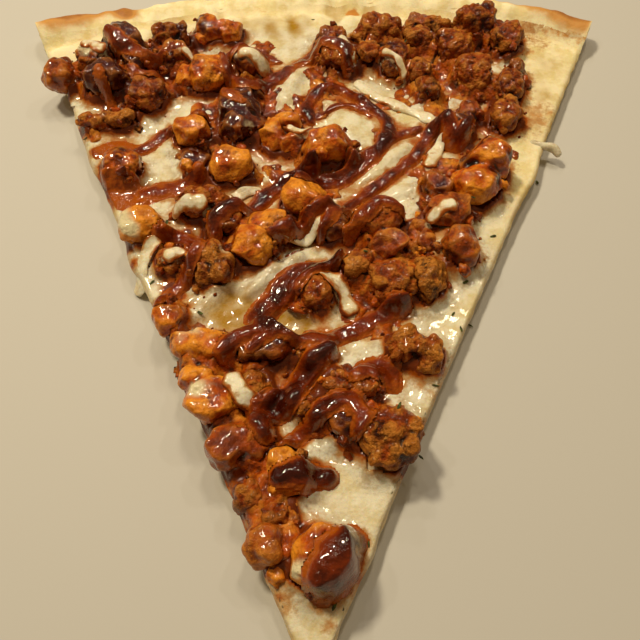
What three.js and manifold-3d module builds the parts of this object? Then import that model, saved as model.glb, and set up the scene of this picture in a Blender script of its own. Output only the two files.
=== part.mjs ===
// A slice of an 18-inch pizza: a thin wedge of baked dough with a low outer rim, a layer of
// melted mozzarella on it, pieces of barbecued chicken bedded in the cheese, and thick
// ribbons of barbecue sauce that run over cheese and chicken.
//
// Millimetres, +Z up. The tip points along -Y, the crust is at +Y, and the origin is under
// the middle of the slice, on the surface that the slice lies on.

import * as THREE from 'three';
import { mergeVertices } from 'three/addons/utils/BufferGeometryUtils.js';
import Module from 'manifold-3d';

// ---------------------------------------------------------------- driving dimensions

const SLICE_RADIUS = 229;                        // tip to outer crust, half of 18 inches
const HALF_ANGLE = THREE.MathUtils.degToRad(25.75);
const TIP_RADIUS = 3.5;                          // the tip is cut off bluntly here
const ROW_STEP = 7.4;                            // spacing of the rows of points, tip to crust
const COLUMNS = 20;                              // points across the wedge at the crust
const FEWEST_COLUMNS = 3;                        // and at the tip

const DOUGH_THICKNESS = 3.4;                     // under the cheese
const RIM_WIDTH = 15;                            // where the dough starts to rise to the rim
const RIM_CREST = 5;                             // the rim's highest line, in from the outside
const RIM_UNDERCUT = 3;                          // how far the rounded outside tucks under
const RIM_LUMP = 0.35;

const CHEESE_THICKNESS = 1.7;
const CHEESE_LIP = 0.5;                          // thickness where the cheese thins out
const CHEESE_RIPPLE = 0.28;
const CUT_PINCH = 0.35;                          // share of its thickness lost at a cut side
const GAP = 0.3;                                 // between a piece and what it rests on
const NEIGHBOUR_GAP = 0.4;                       // between pieces of chicken that touch

const SUNK = 1.6;                                // how deep chicken is bedded in the cheese
const LOBE_AROUND = 8;                           // corners round a lobe
const LOBE_RINGS = 4;                            // bands from its bottom to its top
const BEAD_SIDES = 5;                            // corners of a ribbon's section
const BEAD_STEP = 6.5;                           // spacing of the sections along a ribbon
const BEAD_SAMPLES = 4;                          // height readings for each such step
const BEAD_FLATNESS = 0.62;                      // height of a ribbon over its width
const BEAD_TAPER = 0.6;                          // size of its end sections
const BEAD_NOSE = 0.25;                          // length of its blunt ends over its width
const SMALLEST_BEAD = 5.5;                       // shorter stretches are left out

// ---------------------------------------------------------------- materials

const doughMaterial = new THREE.MeshStandardMaterial({ color: 0xe6c795, roughness: 0.85, metalness: 0 });
const cheeseMaterial = new THREE.MeshStandardMaterial({ color: 0xe8d9a6, roughness: 0.35, metalness: 0 });

// The looks of the chicken: smooth orange dice, browned craggy scraps, and pieces that are
// glazed dark all over. `square` is the exponent of the rounded block: 2 is an egg.
const LOOKS = {
  diced: { color: 0xb9692c, roughness: 0.45, square: 3.2, lump: 0.13 },
  browned: { color: 0x8a4d28, roughness: 0.55, square: 2.5, lump: 0.24 },
  glazed: { color: 0x5e1f14, roughness: 0.25, square: 2.7, lump: 0.17 },
};

// ---------------------------------------------------------------- layout by hand

// Where the cut edges bulge (+) or draw in (-): distance from the tip, depth, half length.
const LEFT_WAVES = [[113, 1.3, 6], [155, 0.8, 6], [186, -1.2, 8], [79, -0.9, 5], [70, 0.7, 4]];
const RIGHT_WAVES = [[140, 0.9, 45], [149, 1.2, 9], [27, 0.7, 4]];

// The rim's height along the crust, from the left end (-1) to the right end (1).
const RIM_HEIGHTS = [[-1, 9], [-0.88, 8.8], [-0.78, 6.6], [-0.7, 6.8], [-0.64, 5], [-0.4, 5.2],
  [0, 6.6], [0.5, 8], [0.75, 9], [1, 9]];

// Mounds where the cheese has gathered: x, y, half widths, height.
const CHEESE_MOUNDS = [
  [13, 37, 9, 11, 1.5], [32, 42, 11, 7, 1.3], [-7, 58, 5, 11, 1.6], [21, 10, 7, 8, 1.0],
  [29, 1, 5, 11, 1.0], [-12, -21, 11, 7, 1.4], [6, -25, 5, 8, 1.0], [-45, -14, 6, 9, 1.0],
  [-17, -55, 4, 7, 1.8], [2, -52, 7, 9, 1.4], [15, -42, 10, 6, 1.2], [-2, -78, 7, 6, 0.9],
  [-68, 30, 8, 8, 0.9], [-8, 88, 24, 8, 1.0], [-30, -30, 8, 8, 0.8],
];

// The chicken, from the crust to the tip. Each piece is one or more lobes that are grown
// together: x, y, width, depth, height, turn in degrees.
const CHICKEN = [
  ['glazed', [-83, 60, 12, 14, 9, 20]],
  ['browned', [-74, 67, 11, 13, 9, 0]],
  ['glazed', [-64, 74, 18, 14, 12, -15], [-58, 65, 12, 11, 9, 0]],
  ['glazed', [-67, 56, 17, 12, 11, 10]],
  ['browned', [-53, 51, 13, 16, 9, -10]],
  ['browned', [-49, 80, 15, 10, 9, 0], [-47, 71, 11, 13, 8, 10]],
  ['diced', [-34, 59, 14, 15, 10, 15], [-43, 59, 8, 10, 7, 0]],
  ['diced', [-37, 84, 11, 10, 8, 0], [-29, 84, 11, 10, 8, 30]],
  ['browned', [-69, 39, 11, 7, 6, 0], [-61, 40, 12, 7, 6, 8]],
  ['diced', [-57, 20, 14, 10, 8, -8]],
  ['diced', [-37, 33, 13, 11, 9, 20]],
  ['glazed', [-35, 22, 10, 9, 6, -30]],
  ['diced', [-24, 19, 15, 12, 9, 10]],
  ['glazed', [-22, 66, 14, 11, 9, -10]],
  ['glazed', [-20, 53, 13, 9, 8, 0], [-24, 44, 16, 13, 9, 10], [-22, 35, 14, 12, 9, -20]],
  ['diced', [-13, 32, 9, 11, 8, 0], [-6, 28, 9, 8, 7, 25], [-8, 39, 10, 9, 7, 0]],
  ['diced', [4, 26, 17, 12, 11, 12]],
  ['browned', [6, 79, 12, 11, 8, 0], [8, 69, 13, 13, 8, 10]],
  ['browned', [22, 81, 17, 12, 11, 8], [18, 71, 11, 12, 8, 0]],
  ['browned', [27, 67, 11, 14, 9, -12]],
  ['browned', [37, 87, 11, 10, 8, 0], [44, 87, 9, 10, 8, 20], [36, 78, 12, 12, 8, 0]],
  ['browned', [56, 85, 17, 12, 12, 5], [66, 79, 12, 16, 9, -10]],
  ['browned', [47, 72, 14, 14, 10, 15], [52, 60, 15, 14, 10, -10]],
  ['browned', [35, 62, 10, 11, 8, 0], [37, 53, 9, 10, 7, 0]],
  ['browned', [67, 63, 9, 9, 7, 0], [63, 54, 10, 16, 8, -24], [60, 41, 10, 16, 8, -8],
    [64, 29, 12, 11, 8, 0]],
  ['glazed', [45, 35, 10, 11, 7, 10], [49, 43, 9, 9, 6, 0]],
  ['diced', [51, 20, 18, 13, 12, -10], [47, 10, 16, 13, 10, 8]],
  ['glazed', [36, 10, 11, 10, 9, 20], [38, 0, 17, 12, 9, 4]],
  ['glazed', [30, -3, 8, 7, 6, 0], [31, -9, 7, 8, 6, 0]],
  ['glazed', [40, -12, 12, 13, 9, -15]],
  ['diced', [-48, -4, 13, 12, 8, 20]],
  ['browned', [-31, 5, 17, 10, 9, -5], [-24, -2, 11, 11, 8, 0]],
  ['diced', [-12, -4, 15, 10, 8, 5], [-17, -12, 14, 12, 10, -12]],
  ['browned', [-27, -17, 12, 15, 9, 5]],
  ['browned', [-39, -14, 8, 10, 5, 0]],
  ['diced', [-3, 5, 14, 12, 10, -14]],
  ['glazed', [6, -4, 10, 10, 7, 10]],
  ['glazed', [17, -3, 16, 12, 10, -6], [21, -12, 13, 10, 9, 0]],
  ['browned', [11, -17, 12, 10, 8, 0], [20, -22, 15, 12, 9, 10]],
  ['browned', [30, -22, 10, 14, 8, -8]],
  ['diced', [-37, -32, 9, 12, 6, 25]],
  ['diced', [-25, -41, 13, 10, 7, 0], [-32, -41, 9, 8, 6, 0]],
  ['glazed', [-16, -42, 11, 11, 7, 5], [-9, -42, 10, 9, 7, 0]],
  ['diced', [-28, -49, 11, 9, 7, 0], [-23, -56, 15, 12, 8, 15]],
  ['browned', [-14, -52, 9, 8, 6, 10]],
  ['browned', [1, -26, 9, 12, 7, 0]],
  ['browned', [23, -41, 11, 10, 7, -12], [29, -44, 8, 10, 6, -10]],
  ['browned', [5, -51, 8, 7, 5, 0], [12, -52, 8, 7, 6, 0]],
  ['browned', [0, -43, 11, 8, 6, 10]],
  ['glazed', [-20, -67, 11, 12, 7, 15], [-13, -66, 10, 11, 7, -10]],
  ['diced', [-7, -69, 9, 8, 6, 0], [-6, -76, 9, 8, 6, 10]],
  ['browned', [17, -66, 16, 16, 9, 10]],
  ['glazed', [8, -61, 10, 12, 7, -8]],
  ['browned', [-1, -58, 9, 6, 5, 0]],
  ['browned', [-8, -82, 8, 7, 5, 0], [-14, -79, 7, 9, 5, 0]],
  ['glazed', [-10, -89, 10, 10, 7, 10]],
  ['diced', [1, -91, 14, 14, 9, -10]],
];

// The ribbons of sauce: width, then the points that each one runs through.
const DRIZZLE = [
  [3.6, [[-65, 26], [-57, 29], [-51, 30], [-46, 37], [-39, 40], [-33, 38]]],
  [5.5, [[-63, 16], [-56, 18], [-50, 15], [-44, 16], [-38, 15]]],
  [3.8, [[-39, 69], [-33, 71], [-29, 66], [-25, 71], [-17, 73], [-12, 71]]],
  [4.2, [[-29, 64], [-26, 56], [-21, 52], [-14, 58], [-6, 68], [2, 73], [10, 69]]],
  [3.8, [[-1, 41], [-1, 50], [4, 56], [10, 55], [15, 49], [22, 43]]],
  [4.2, [[24, 40], [22, 32], [16, 24], [8, 16], [-3, 13]]],
  [4.4, [[0, 19], [-8, 16], [-14, 8], [-20, 2], [-26, -3]]],
  [3.4, [[46, 34], [40, 38], [36, 35], [31, 26], [23, 18], [16, 11], [7, 2], [2, -6]]],
  [3.0, [[11, 6], [4, 1], [-4, -4], [-11, -9]]],
  [4.2, [[-42, -7], [-36, -5], [-31, -11], [-33, -18], [-38, -24], [-39, -29]]],
  [5.0, [[6, -15], [-2, -18], [-8, -24], [-13, -31], [-11, -37]]],
  [5.2, [[24, -29], [15, -33], [5, -38], [-5, -40], [-14, -38], [-20, -43]]],
  [5.6, [[4, -43], [-2, -50], [-8, -57], [-12, -61]]],
  [4.2, [[-7, -66], [0, -61], [8, -59], [9, -65], [7, -71]]],
  [5.0, [[-10, -74], [-4, -72], [4, -72]]],
  [3.6, [[3, -86], [6, -91], [2, -96]]],
];

// A string of cheese that has run out over the right-hand cut: width, points with heights.
const CHEESE_STRING = [2.6, [[67, 33, 5.4], [71.5, 31.5, 5.4], [74.5, 30.5, 4.7], [76.5, 28, 3.6]]];

// ---------------------------------------------------------------- small helpers

const wasm = await Module();
wasm.setup();

/** A repeatable stream of numbers from 0 to 1. */
function randomStream(seed) {
  let state = seed;
  return () => {
    state = (state + 0x6d2b79f5) | 0;
    let mixed = Math.imul(state ^ (state >>> 15), 1 | state);
    mixed = (mixed + Math.imul(mixed ^ (mixed >>> 7), 61 | mixed)) ^ mixed;
    return ((mixed ^ (mixed >>> 14)) >>> 0) / 4294967296;
  };
}

/** Sum of soft bumps along a line, each [centre, height, half length]. */
function bumps(waves, at) {
  const bump = ([centre, height, reach]) => height * Math.exp(-(((at - centre) / reach) ** 2));
  return waves.reduce((sum, wave) => sum + bump(wave), 0);
}

/** Reads a table of [place, value] rows, going smoothly from each row to the next. */
function readTable(rows, at) {
  const last = rows.length - 1;
  if (at <= rows[0][0]) return rows[0][1];
  if (at >= rows[last][0]) return rows[last][1];
  const next = rows.findIndex((row) => row[0] > at);
  const [fromPlace, fromValue] = rows[next - 1];
  const [toPlace, toValue] = rows[next];
  return THREE.MathUtils.lerp(fromValue, toValue, THREE.MathUtils.smoothstep(at, fromPlace, toPlace));
}

/** A closed triangle mesh becomes a solid that can be joined and cut. */
function toSolid(geometry) {
  const bare = new THREE.BufferGeometry();
  bare.setAttribute('position', geometry.getAttribute('position'));
  if (geometry.index) bare.setIndex(geometry.index);
  const merged = mergeVertices(bare, 1e-4);
  return new wasm.Manifold(new wasm.Mesh({
    numProp: 3,
    vertProperties: new Float32Array(merged.getAttribute('position').array),
    triVerts: new Uint32Array(merged.index.array),
  }));
}

/** The reverse of toSolid. */
function toGeometry(solid) {
  const mesh = solid.getMesh();
  const geometry = new THREE.BufferGeometry();
  geometry.setAttribute('position', new THREE.BufferAttribute(new Float32Array(mesh.vertProperties), 3));
  geometry.setIndex(new THREE.BufferAttribute(new Uint32Array(mesh.triVerts), 1));
  geometry.computeVertexNormals();
  return geometry;
}

/** The largest of the bodies in a solid, so that loose scraps are dropped. */
function largestBody(solid) {
  const bodies = solid.decompose();
  return bodies.reduce((best, body) => (body.volume() > best.volume() ? body : best));
}

/** Do the boxes of two solids meet? */
function boxesMeet(one, other) {
  const [a, b] = [one.boundingBox(), other.boundingBox()];
  return [0, 1, 2].every((axis) => a.min[axis] < b.max[axis] && b.min[axis] < a.max[axis]);
}

/** Collects triangles between named rows of points and closes them into one body. */
class Shell {
  constructor() {
    this.corners = [];
  }

  triangle(a, b, c, turned = false) {
    if (turned) this.corners.push(...a, ...c, ...b);
    else this.corners.push(...a, ...b, ...c);
  }

  /** Skin between two rows of evenly spread points, which may differ in number. */
  strip(lower, upper, turned = false) {
    let [i, k] = [0, 0];
    while (i + 1 < lower.length || k + 1 < upper.length) {
      const nextLower = (i + 1) / (lower.length - 1);
      const nextUpper = (k + 1) / (upper.length - 1);
      if (nextLower <= nextUpper) {
        this.triangle(lower[i], lower[i + 1], upper[k], turned);
        i += 1;
      } else {
        this.triangle(lower[i], upper[k + 1], upper[k], turned);
        k += 1;
      }
    }
  }

  /** A flat face inside a loop of points; it faces up, or down when it is turned. */
  flat(loop, turned = false) {
    const outline = loop.map(([x, y]) => new THREE.Vector2(x, y));
    for (const [a, b, c] of THREE.ShapeUtils.triangulateShape(outline, [])) {
      this.triangle(loop[a], loop[b], loop[c], turned);
    }
  }

  geometry() {
    const loose = new THREE.BufferGeometry();
    loose.setAttribute('position', new THREE.Float32BufferAttribute(this.corners, 3));
    const merged = mergeVertices(loose, 1e-4);
    merged.computeVertexNormals();
    return merged;
  }
}

// ---------------------------------------------------------------- the wedge

/** A point of the wedge: r from the tip, t from the left cut (-1) to the right cut (1). */
function plan(r, t) {
  const bulge = bumps(t < 0 ? LEFT_WAVES : RIGHT_WAVES, r);
  const angle = t * (HALF_ANGLE + bulge / r);
  return [r * Math.sin(angle), r * Math.cos(angle) - SLICE_RADIUS / 2];
}

/** Height of the dough's crest at one place along the crust. */
function rimHeight(t) {
  return readTable(RIM_HEIGHTS, t) + RIM_LUMP * Math.sin(17 * t + 1) * Math.cos(7 * t);
}

/** Height of the dough's top. */
function doughTop(r, t) {
  const climb = THREE.MathUtils.smoothstep(r, SLICE_RADIUS - RIM_WIDTH, SLICE_RADIUS - RIM_CREST);
  return THREE.MathUtils.lerp(DOUGH_THICKNESS, rimHeight(t), climb);
}

/** How much cheese lies on the dough: rippled, gathered in mounds, thin towards the rim. */
function cheeseDepth(r, t) {
  const [x, y] = plan(r, t);
  const ripple = CHEESE_RIPPLE * Math.sin(x / 6.1 + 1.3 * Math.sin(y / 9)) * Math.cos(y / 7.3 - x / 19);
  const mounds = CHEESE_MOUNDS.reduce((sum, [cx, cy, rx, ry, height]) => {
    const away = ((x - cx) / rx) ** 2 + ((y - cy) / ry) ** 2;
    return sum + height * Math.exp(-away);
  }, 0);
  const full = (CHEESE_THICKNESS + ripple + mounds) * (1 - CUT_PINCH * Math.abs(t) ** 16);
  const ending = THREE.MathUtils.smoothstep(r, SLICE_RADIUS - RIM_WIDTH - 4, SLICE_RADIUS - RIM_CREST - 2);
  return THREE.MathUtils.lerp(full, CHEESE_LIP, ending);
}

/** Even places across the wedge, -1 to 1: fewer of them where the wedge is narrow. */
function acrossAt(r) {
  const count = Math.max(FEWEST_COLUMNS, Math.round((COLUMNS * Math.min(r, flatEnd)) / flatEnd));
  return Array.from({ length: count + 1 }, (_, i) => -1 + (2 * i) / count);
}

const flatEnd = SLICE_RADIUS - RIM_WIDTH;
const flatRowCount = Math.round((flatEnd - TIP_RADIUS) / ROW_STEP);
const flatRows = Array.from(
  { length: flatRowCount + 1 },
  (_, i) => TIP_RADIUS + ((flatEnd - TIP_RADIUS) * i) / flatRowCount,
);
const climbRows = [0.3, 0.65, 1].map((share) => flatEnd + share * (RIM_WIDTH - RIM_CREST));
const cheeseRows = [...flatRows, climbRows[0], climbRows[1]];

/** One row of points across the wedge at distance r, with z from a function of r and t. */
function rowAt(r, height) {
  return acrossAt(r).map((t) => [...plan(r, t), height(r, t)]);
}

/** The outline of the flat part of a layer, anticlockwise seen from above. */
function flatOutline(z) {
  const right = flatRows.map((r) => [...plan(r, 1), z]);
  const left = flatRows.map((r) => [...plan(r, -1), z]);
  const far = rowAt(flatEnd, () => z).reverse().slice(1, -1);
  const near = rowAt(TIP_RADIUS, () => z).slice(1, -1);
  return [...right, ...far, ...left.reverse(), ...near];
}

/** The wall of a cut side, between the bottom edge and the top edge of a layer. */
function sideWalls(shell, rows, bottomAt, topAt) {
  for (const t of [-1, 1]) {
    const bottom = rows.map((r) => [...plan(r, t), bottomAt(r, t)]);
    const top = rows.map((r) => [...plan(r, t), topAt(r, t)]);
    shell.strip(bottom, top, t < 0);
  }
}

/** The dough: flat under the cheese, with a rounded rim that tucks under at the outside. */
function makeDough() {
  const shell = new Shell();
  const outsideRow = (inset, share) => rowAt(SLICE_RADIUS - inset, (r, t) => share * rimHeight(t));
  const rimRows = [
    rowAt(flatEnd, () => DOUGH_THICKNESS),
    ...climbRows.map((r) => rowAt(r, doughTop)),
    outsideRow(1.6, 0.86),
    outsideRow(0, 0.5),
    outsideRow(RIM_UNDERCUT, 0),
  ];
  shell.flat(flatOutline(DOUGH_THICKNESS));
  rimRows.slice(1).forEach((row, i) => shell.strip(rimRows[i], row));
  sideWalls(shell, flatRows, () => 0, () => DOUGH_THICKNESS);
  shell.strip(rowAt(TIP_RADIUS, () => 0), rowAt(TIP_RADIUS, () => DOUGH_THICKNESS));
  closeRimEnds(shell, rimRows);

  const right = flatRows.map((r) => [...plan(r, 1), 0]);
  const left = flatRows.map((r) => [...plan(r, -1), 0]);
  const outer = rimRows[rimRows.length - 1].slice().reverse();
  const near = rowAt(TIP_RADIUS, () => 0).slice(1, -1);
  shell.flat([...right, ...outer, ...left.reverse(), ...near], true);
  return shell.geometry();
}

/** The two ends of the rim, where the cut runs through it: a fan from the inner bottom corner. */
function closeRimEnds(shell, rimRows) {
  for (const column of [0, COLUMNS]) {
    const profile = rimRows.map((row) => row[column]);
    const corner = [profile[0][0], profile[0][1], 0];
    for (let i = 0; i + 1 < profile.length; i += 1) {
      shell.triangle(corner, profile[i], profile[i + 1], column > 0);
    }
  }
}

/** Height of the cheese's underside: it follows the dough. */
const cheeseBottom = (r, t) => doughTop(r, t) + GAP;

/** Height of the cheese's top, lifted where a tool must clear it. */
const cheeseTop = (r, t) => cheeseBottom(r, t) + cheeseDepth(r, t);

/** The cheese, or with `lift` the space that pieces bedded in it are cut back from. */
function makeCheese(lift = 0) {
  const shell = new Shell();
  const tops = cheeseRows.map((r) => rowAt(r, (row, t) => cheeseTop(row, t) + lift));
  tops.slice(1).forEach((row, i) => shell.strip(tops[i], row));
  const bottoms = cheeseRows.slice(flatRowCount).map((r) => rowAt(r, cheeseBottom));
  bottoms.slice(1).forEach((row, i) => shell.strip(bottoms[i], row, true));
  shell.flat(flatOutline(DOUGH_THICKNESS + GAP), true);
  sideWalls(shell, cheeseRows, cheeseBottom, (r, t) => cheeseTop(r, t) + lift);
  shell.strip(rowAt(TIP_RADIUS, cheeseBottom), tops[0]);
  shell.strip(tops[tops.length - 1], bottoms[bottoms.length - 1]);
  return shell.geometry();
}

// ---------------------------------------------------------------- the chicken

/** One lobe: a rounded block with lumps, `grow` mm larger all round. */
function makeLobe([x, y, width, depth, height, turn], look, seed, grow = 0) {
  const random = randomStream(seed);
  const waves = Array.from({ length: 5 }, () => ({
    direction: new THREE.Vector3(random() - 0.5, random() - 0.5, random() - 0.5).normalize(),
    pace: 2.2 + 3.2 * random(),
    phase: 6.3 * random(),
  }));
  const { square, lump } = LOOKS[look];
  const geometry = new THREE.SphereGeometry(1, LOBE_AROUND, LOBE_RINGS).rotateX(Math.PI / 2);
  const position = geometry.getAttribute('position');
  const half = [width / 2 + grow, depth / 2 + grow, (height + SUNK) / 2 + grow];
  const point = new THREE.Vector3();
  for (let i = 0; i < position.count; i += 1) {
    point.fromBufferAttribute(position, i).normalize();
    const swing = ({ direction, pace, phase }) => Math.sin(pace * point.dot(direction) + phase);
    const relief = waves.reduce((sum, wave) => sum + swing(wave), 0) / waves.length;
    const powers = point.toArray().reduce((sum, side) => sum + Math.abs(side) ** square, 0);
    point.multiplyScalar(powers ** (-1 / square) * (1 + lump * relief));
    position.setXYZ(i, point.x * half[0], point.y * half[1], point.z * half[2]);
  }
  geometry.rotateZ(THREE.MathUtils.degToRad(turn));
  geometry.translate(x, y, DOUGH_THICKNESS + CHEESE_THICKNESS + (height - SUNK) / 2);
  return toSolid(geometry);
}

// ---------------------------------------------------------------- the sauce

/** A closed bead along a line of points on the surface below it. */
function makeBead(points, width, grow = 0) {
  const shell = new Shell();
  const rings = points.map((point, i) => {
    const before = points[Math.max(i - 1, 0)];
    const after = points[Math.min(i + 1, points.length - 1)];
    const along = after.clone().sub(before).normalize();
    const side = new THREE.Vector3(-along.y, along.x, 0).normalize();
    const up = new THREE.Vector3().crossVectors(side, along).negate().normalize();
    const taper = i === 0 || i === points.length - 1 ? BEAD_TAPER : 1;
    return Array.from({ length: BEAD_SIDES + 1 }, (_, k) => {
      const angle = (2 * Math.PI * (k % BEAD_SIDES)) / BEAD_SIDES;
      const ring = point.clone();
      ring.addScaledVector(side, Math.cos(angle) * ((width / 2) * taper + grow));
      ring.addScaledVector(up, Math.sin(angle) * ((width / 2) * BEAD_FLATNESS * taper + grow));
      return ring.toArray();
    });
  });
  rings.slice(1).forEach((ring, i) => shell.strip(rings[i], ring));
  const reach = width * BEAD_NOSE + grow;
  const [first, second] = points;
  const [beforeLast, last] = points.slice(-2);
  closeBeadEnd(shell, rings[0].slice().reverse(), first, second, reach);
  closeBeadEnd(shell, rings[rings.length - 1], last, beforeLast, reach);
  return toSolid(shell.geometry());
}

/** The blunt point at one end of a bead, `reach` mm past its last section. */
function closeBeadEnd(shell, ring, end, inner, reach) {
  const outward = end.clone().sub(inner).normalize();
  const point = end.clone().addScaledVector(outward, reach).toArray();
  for (let k = 0; k < BEAD_SIDES; k += 1) shell.triangle(point, ring[k], ring[k + 1]);
}

/** Follows a ribbon over the pieces and cuts it into stretches that lie on one piece each. */
function stretchesOf(route, meshes) {
  const curve = new THREE.CatmullRomCurve3(route.map(([x, y]) => new THREE.Vector3(x, y, 0)));
  const count = Math.round((curve.getLength() / BEAD_STEP) * BEAD_SAMPLES);
  const caster = new THREE.Raycaster();
  const down = new THREE.Vector3(0, 0, -1);
  const stretches = [];
  for (const place of curve.getSpacedPoints(count)) {
    caster.set(new THREE.Vector3(place.x, place.y, 50), down);
    const [hit] = caster.intersectObjects(meshes, false);
    if (!hit) continue;
    const current = stretches[stretches.length - 1];
    if (current && current.owner === hit.object.name) current.points.push(hit.point);
    else stretches.push({ owner: hit.object.name, points: [hit.point] });
  }
  return stretches;
}

/** Keeps the ends of a stretch and an even choice of the points between them. */
function thinOut(points) {
  const steps = Math.max(2, Math.round((points.length - 1) / BEAD_SAMPLES));
  return Array.from({ length: steps + 1 }, (_, i) => points[Math.round((i * (points.length - 1)) / steps)]);
}

// ---------------------------------------------------------------- putting it together

/** The cheese with the string that hangs out over the cut. */
function makeCheeseWithString() {
  const [width, route] = CHEESE_STRING;
  return toSolid(makeCheese()).add(makeBead(route.map((place) => new THREE.Vector3(...place)), width));
}

const solids = new Map([['cheese', makeCheeseWithString()]]);
const clearances = new Map([
  ['dough', [toSolid(makeDough().translate(0, 0, GAP))]],
  ['cheese', [toSolid(makeCheese(GAP))]],
]);

/** Cuts a solid back from every other piece, with the gap that their clearances hold. */
function cutClear(solid, owner) {
  let cut = solid;
  for (const [name, spaces] of clearances) {
    if (name === owner) continue;
    for (const space of spaces) {
      if (boxesMeet(cut, space)) cut = cut.subtract(space);
    }
  }
  return cut;
}

const pieceNames = CHICKEN.map(([look], i) => `chicken_${look}_${String(i + 1).padStart(2, '0')}`);

CHICKEN.forEach(([look, ...lobes], i) => {
  const name = pieceNames[i];
  const seed = 100 * (i + 1);
  const joined = lobes.map((lobe, k) => makeLobe(lobe, look, seed + k)).reduce((sum, lobe) => sum.add(lobe));
  solids.set(name, largestBody(cutClear(joined, name)));
  clearances.set(name, lobes.map((lobe, k) => makeLobe(lobe, look, seed + k, NEIGHBOUR_GAP)));
});

/** Lays one ribbon of sauce over everything that is there and fuses it to what it lies on. */
function layRibbon([width, route], meshes) {
  for (const { owner, points } of stretchesOf(route, meshes)) {
    if (points[0].distanceTo(points[points.length - 1]) < SMALLEST_BEAD) continue;
    const line = thinOut(points);
    const bead = cutClear(makeBead(line, width), owner);
    if (bead.isEmpty()) continue;
    solids.set(owner, largestBody(solids.get(owner).add(bead)));
    clearances.get(owner).push(makeBead(line, width, NEIGHBOUR_GAP));
  }
}

const surfaces = [...solids].map(([name, solid]) => {
  const mesh = new THREE.Mesh(toGeometry(solid));
  mesh.name = name;
  return mesh;
});
DRIZZLE.forEach((ribbon) => layRibbon(ribbon, surfaces));

// ---------------------------------------------------------------- the slice

const slice = new THREE.Group();
slice.position.y = -(TIP_RADIUS * Math.cos(HALF_ANGLE)) / 2;

/** Adds one named piece to the slice. */
function addPiece(name, geometry, material) {
  const mesh = new THREE.Mesh(geometry, material);
  mesh.name = name;
  slice.add(mesh);
}

addPiece('dough', makeDough(), doughMaterial);
addPiece('cheese', toGeometry(solids.get('cheese')), cheeseMaterial);
CHICKEN.forEach(([look], i) => {
  const { color, roughness } = LOOKS[look];
  const material = new THREE.MeshStandardMaterial({ color, roughness, metalness: 0 });
  addPiece(pieceNames[i], toGeometry(solids.get(pieceNames[i])), material);
});

export default slice;
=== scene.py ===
"""Looks of a slice of barbecue-chicken pizza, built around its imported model.

Shapes are worked out in millimetres in the slice's working frame, where both cuts would
meet at y = -radius / 2, with the radius of Wedge, and the crust is at +Y. They are turned
into metres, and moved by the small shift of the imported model, when a mesh is made.
"""

import itertools
import logging
import math
from dataclasses import dataclass, field, replace
from enum import Enum

import bmesh
import bpy
import numpy as np
from mathutils import Matrix, Vector
from numpy.typing import NDArray


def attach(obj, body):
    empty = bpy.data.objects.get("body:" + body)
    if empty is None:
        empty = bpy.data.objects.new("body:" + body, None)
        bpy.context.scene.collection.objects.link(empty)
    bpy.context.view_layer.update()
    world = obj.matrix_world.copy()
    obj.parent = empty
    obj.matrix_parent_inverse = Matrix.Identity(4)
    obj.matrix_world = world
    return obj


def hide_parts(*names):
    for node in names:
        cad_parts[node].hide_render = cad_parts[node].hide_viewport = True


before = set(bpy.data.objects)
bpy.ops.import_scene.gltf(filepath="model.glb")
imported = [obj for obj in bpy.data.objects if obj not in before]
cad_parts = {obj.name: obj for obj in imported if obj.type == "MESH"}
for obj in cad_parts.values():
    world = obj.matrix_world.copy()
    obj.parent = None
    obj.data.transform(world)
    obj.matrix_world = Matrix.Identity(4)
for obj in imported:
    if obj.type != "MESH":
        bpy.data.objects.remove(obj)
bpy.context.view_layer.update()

Array = NDArray[np.float64]
Indices = NDArray[np.int64]
Plan = tuple[tuple[float, ...], ...]
Material = bpy.types.Material
Socket = bpy.types.NodeSocket

log = logging.getLogger("slice")

MM = 0.001
BODY = "root"

CORNER_FACTORS = (374761393, 668265263, 1440662683)
SEED_FACTOR = 2246822519
MIXING_FACTOR = 1274126177

# Nets seen from above, and the steps of curves; APART keeps each line's noise off the next one's.
CHART_LOW = (-112.0, -122.0)
CHART_SIZE = (224.0, 244.0)
FINE_STEP = 0.42
CURVE_STEPS = 24
FEWEST_STEPS = 8
APART = 17.0


# ---------------- numbers


def smoothstep(low: float, high: float, value: Array) -> Array:
    """Rises from 0 at `low` to 1 at `high` as 3s^2 - 2s^3."""
    share = np.clip((value - low) / (high - low), 0.0, 1.0)
    return share * share * (3.0 - 2.0 * share)


def mix(first: Array | float, second: Array | float, share: Array | float) -> Array:
    """first at share 0, second at share 1."""
    return first + (second - first) * share


def unit(vectors: Array) -> Array:
    """The vectors in the last axis, each at a length of 1."""
    return vectors / np.maximum(np.linalg.norm(vectors, axis=-1, keepdims=True), 1e-9)


def rounded(share: Array) -> Array:
    """Rises from 0 at 0 to 1 at 1 as a quarter circle."""
    return np.sqrt(1 - (1 - np.clip(share, 0, 1)) ** 2)


def any_corner(points: NDArray[np.bool_]) -> NDArray[np.bool_]:
    """Whether each cell of a net has a true value at any of its four corners."""
    return points[:-1, :-1] | points[:-1, 1:] | points[1:, :-1] | points[1:, 1:]


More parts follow.
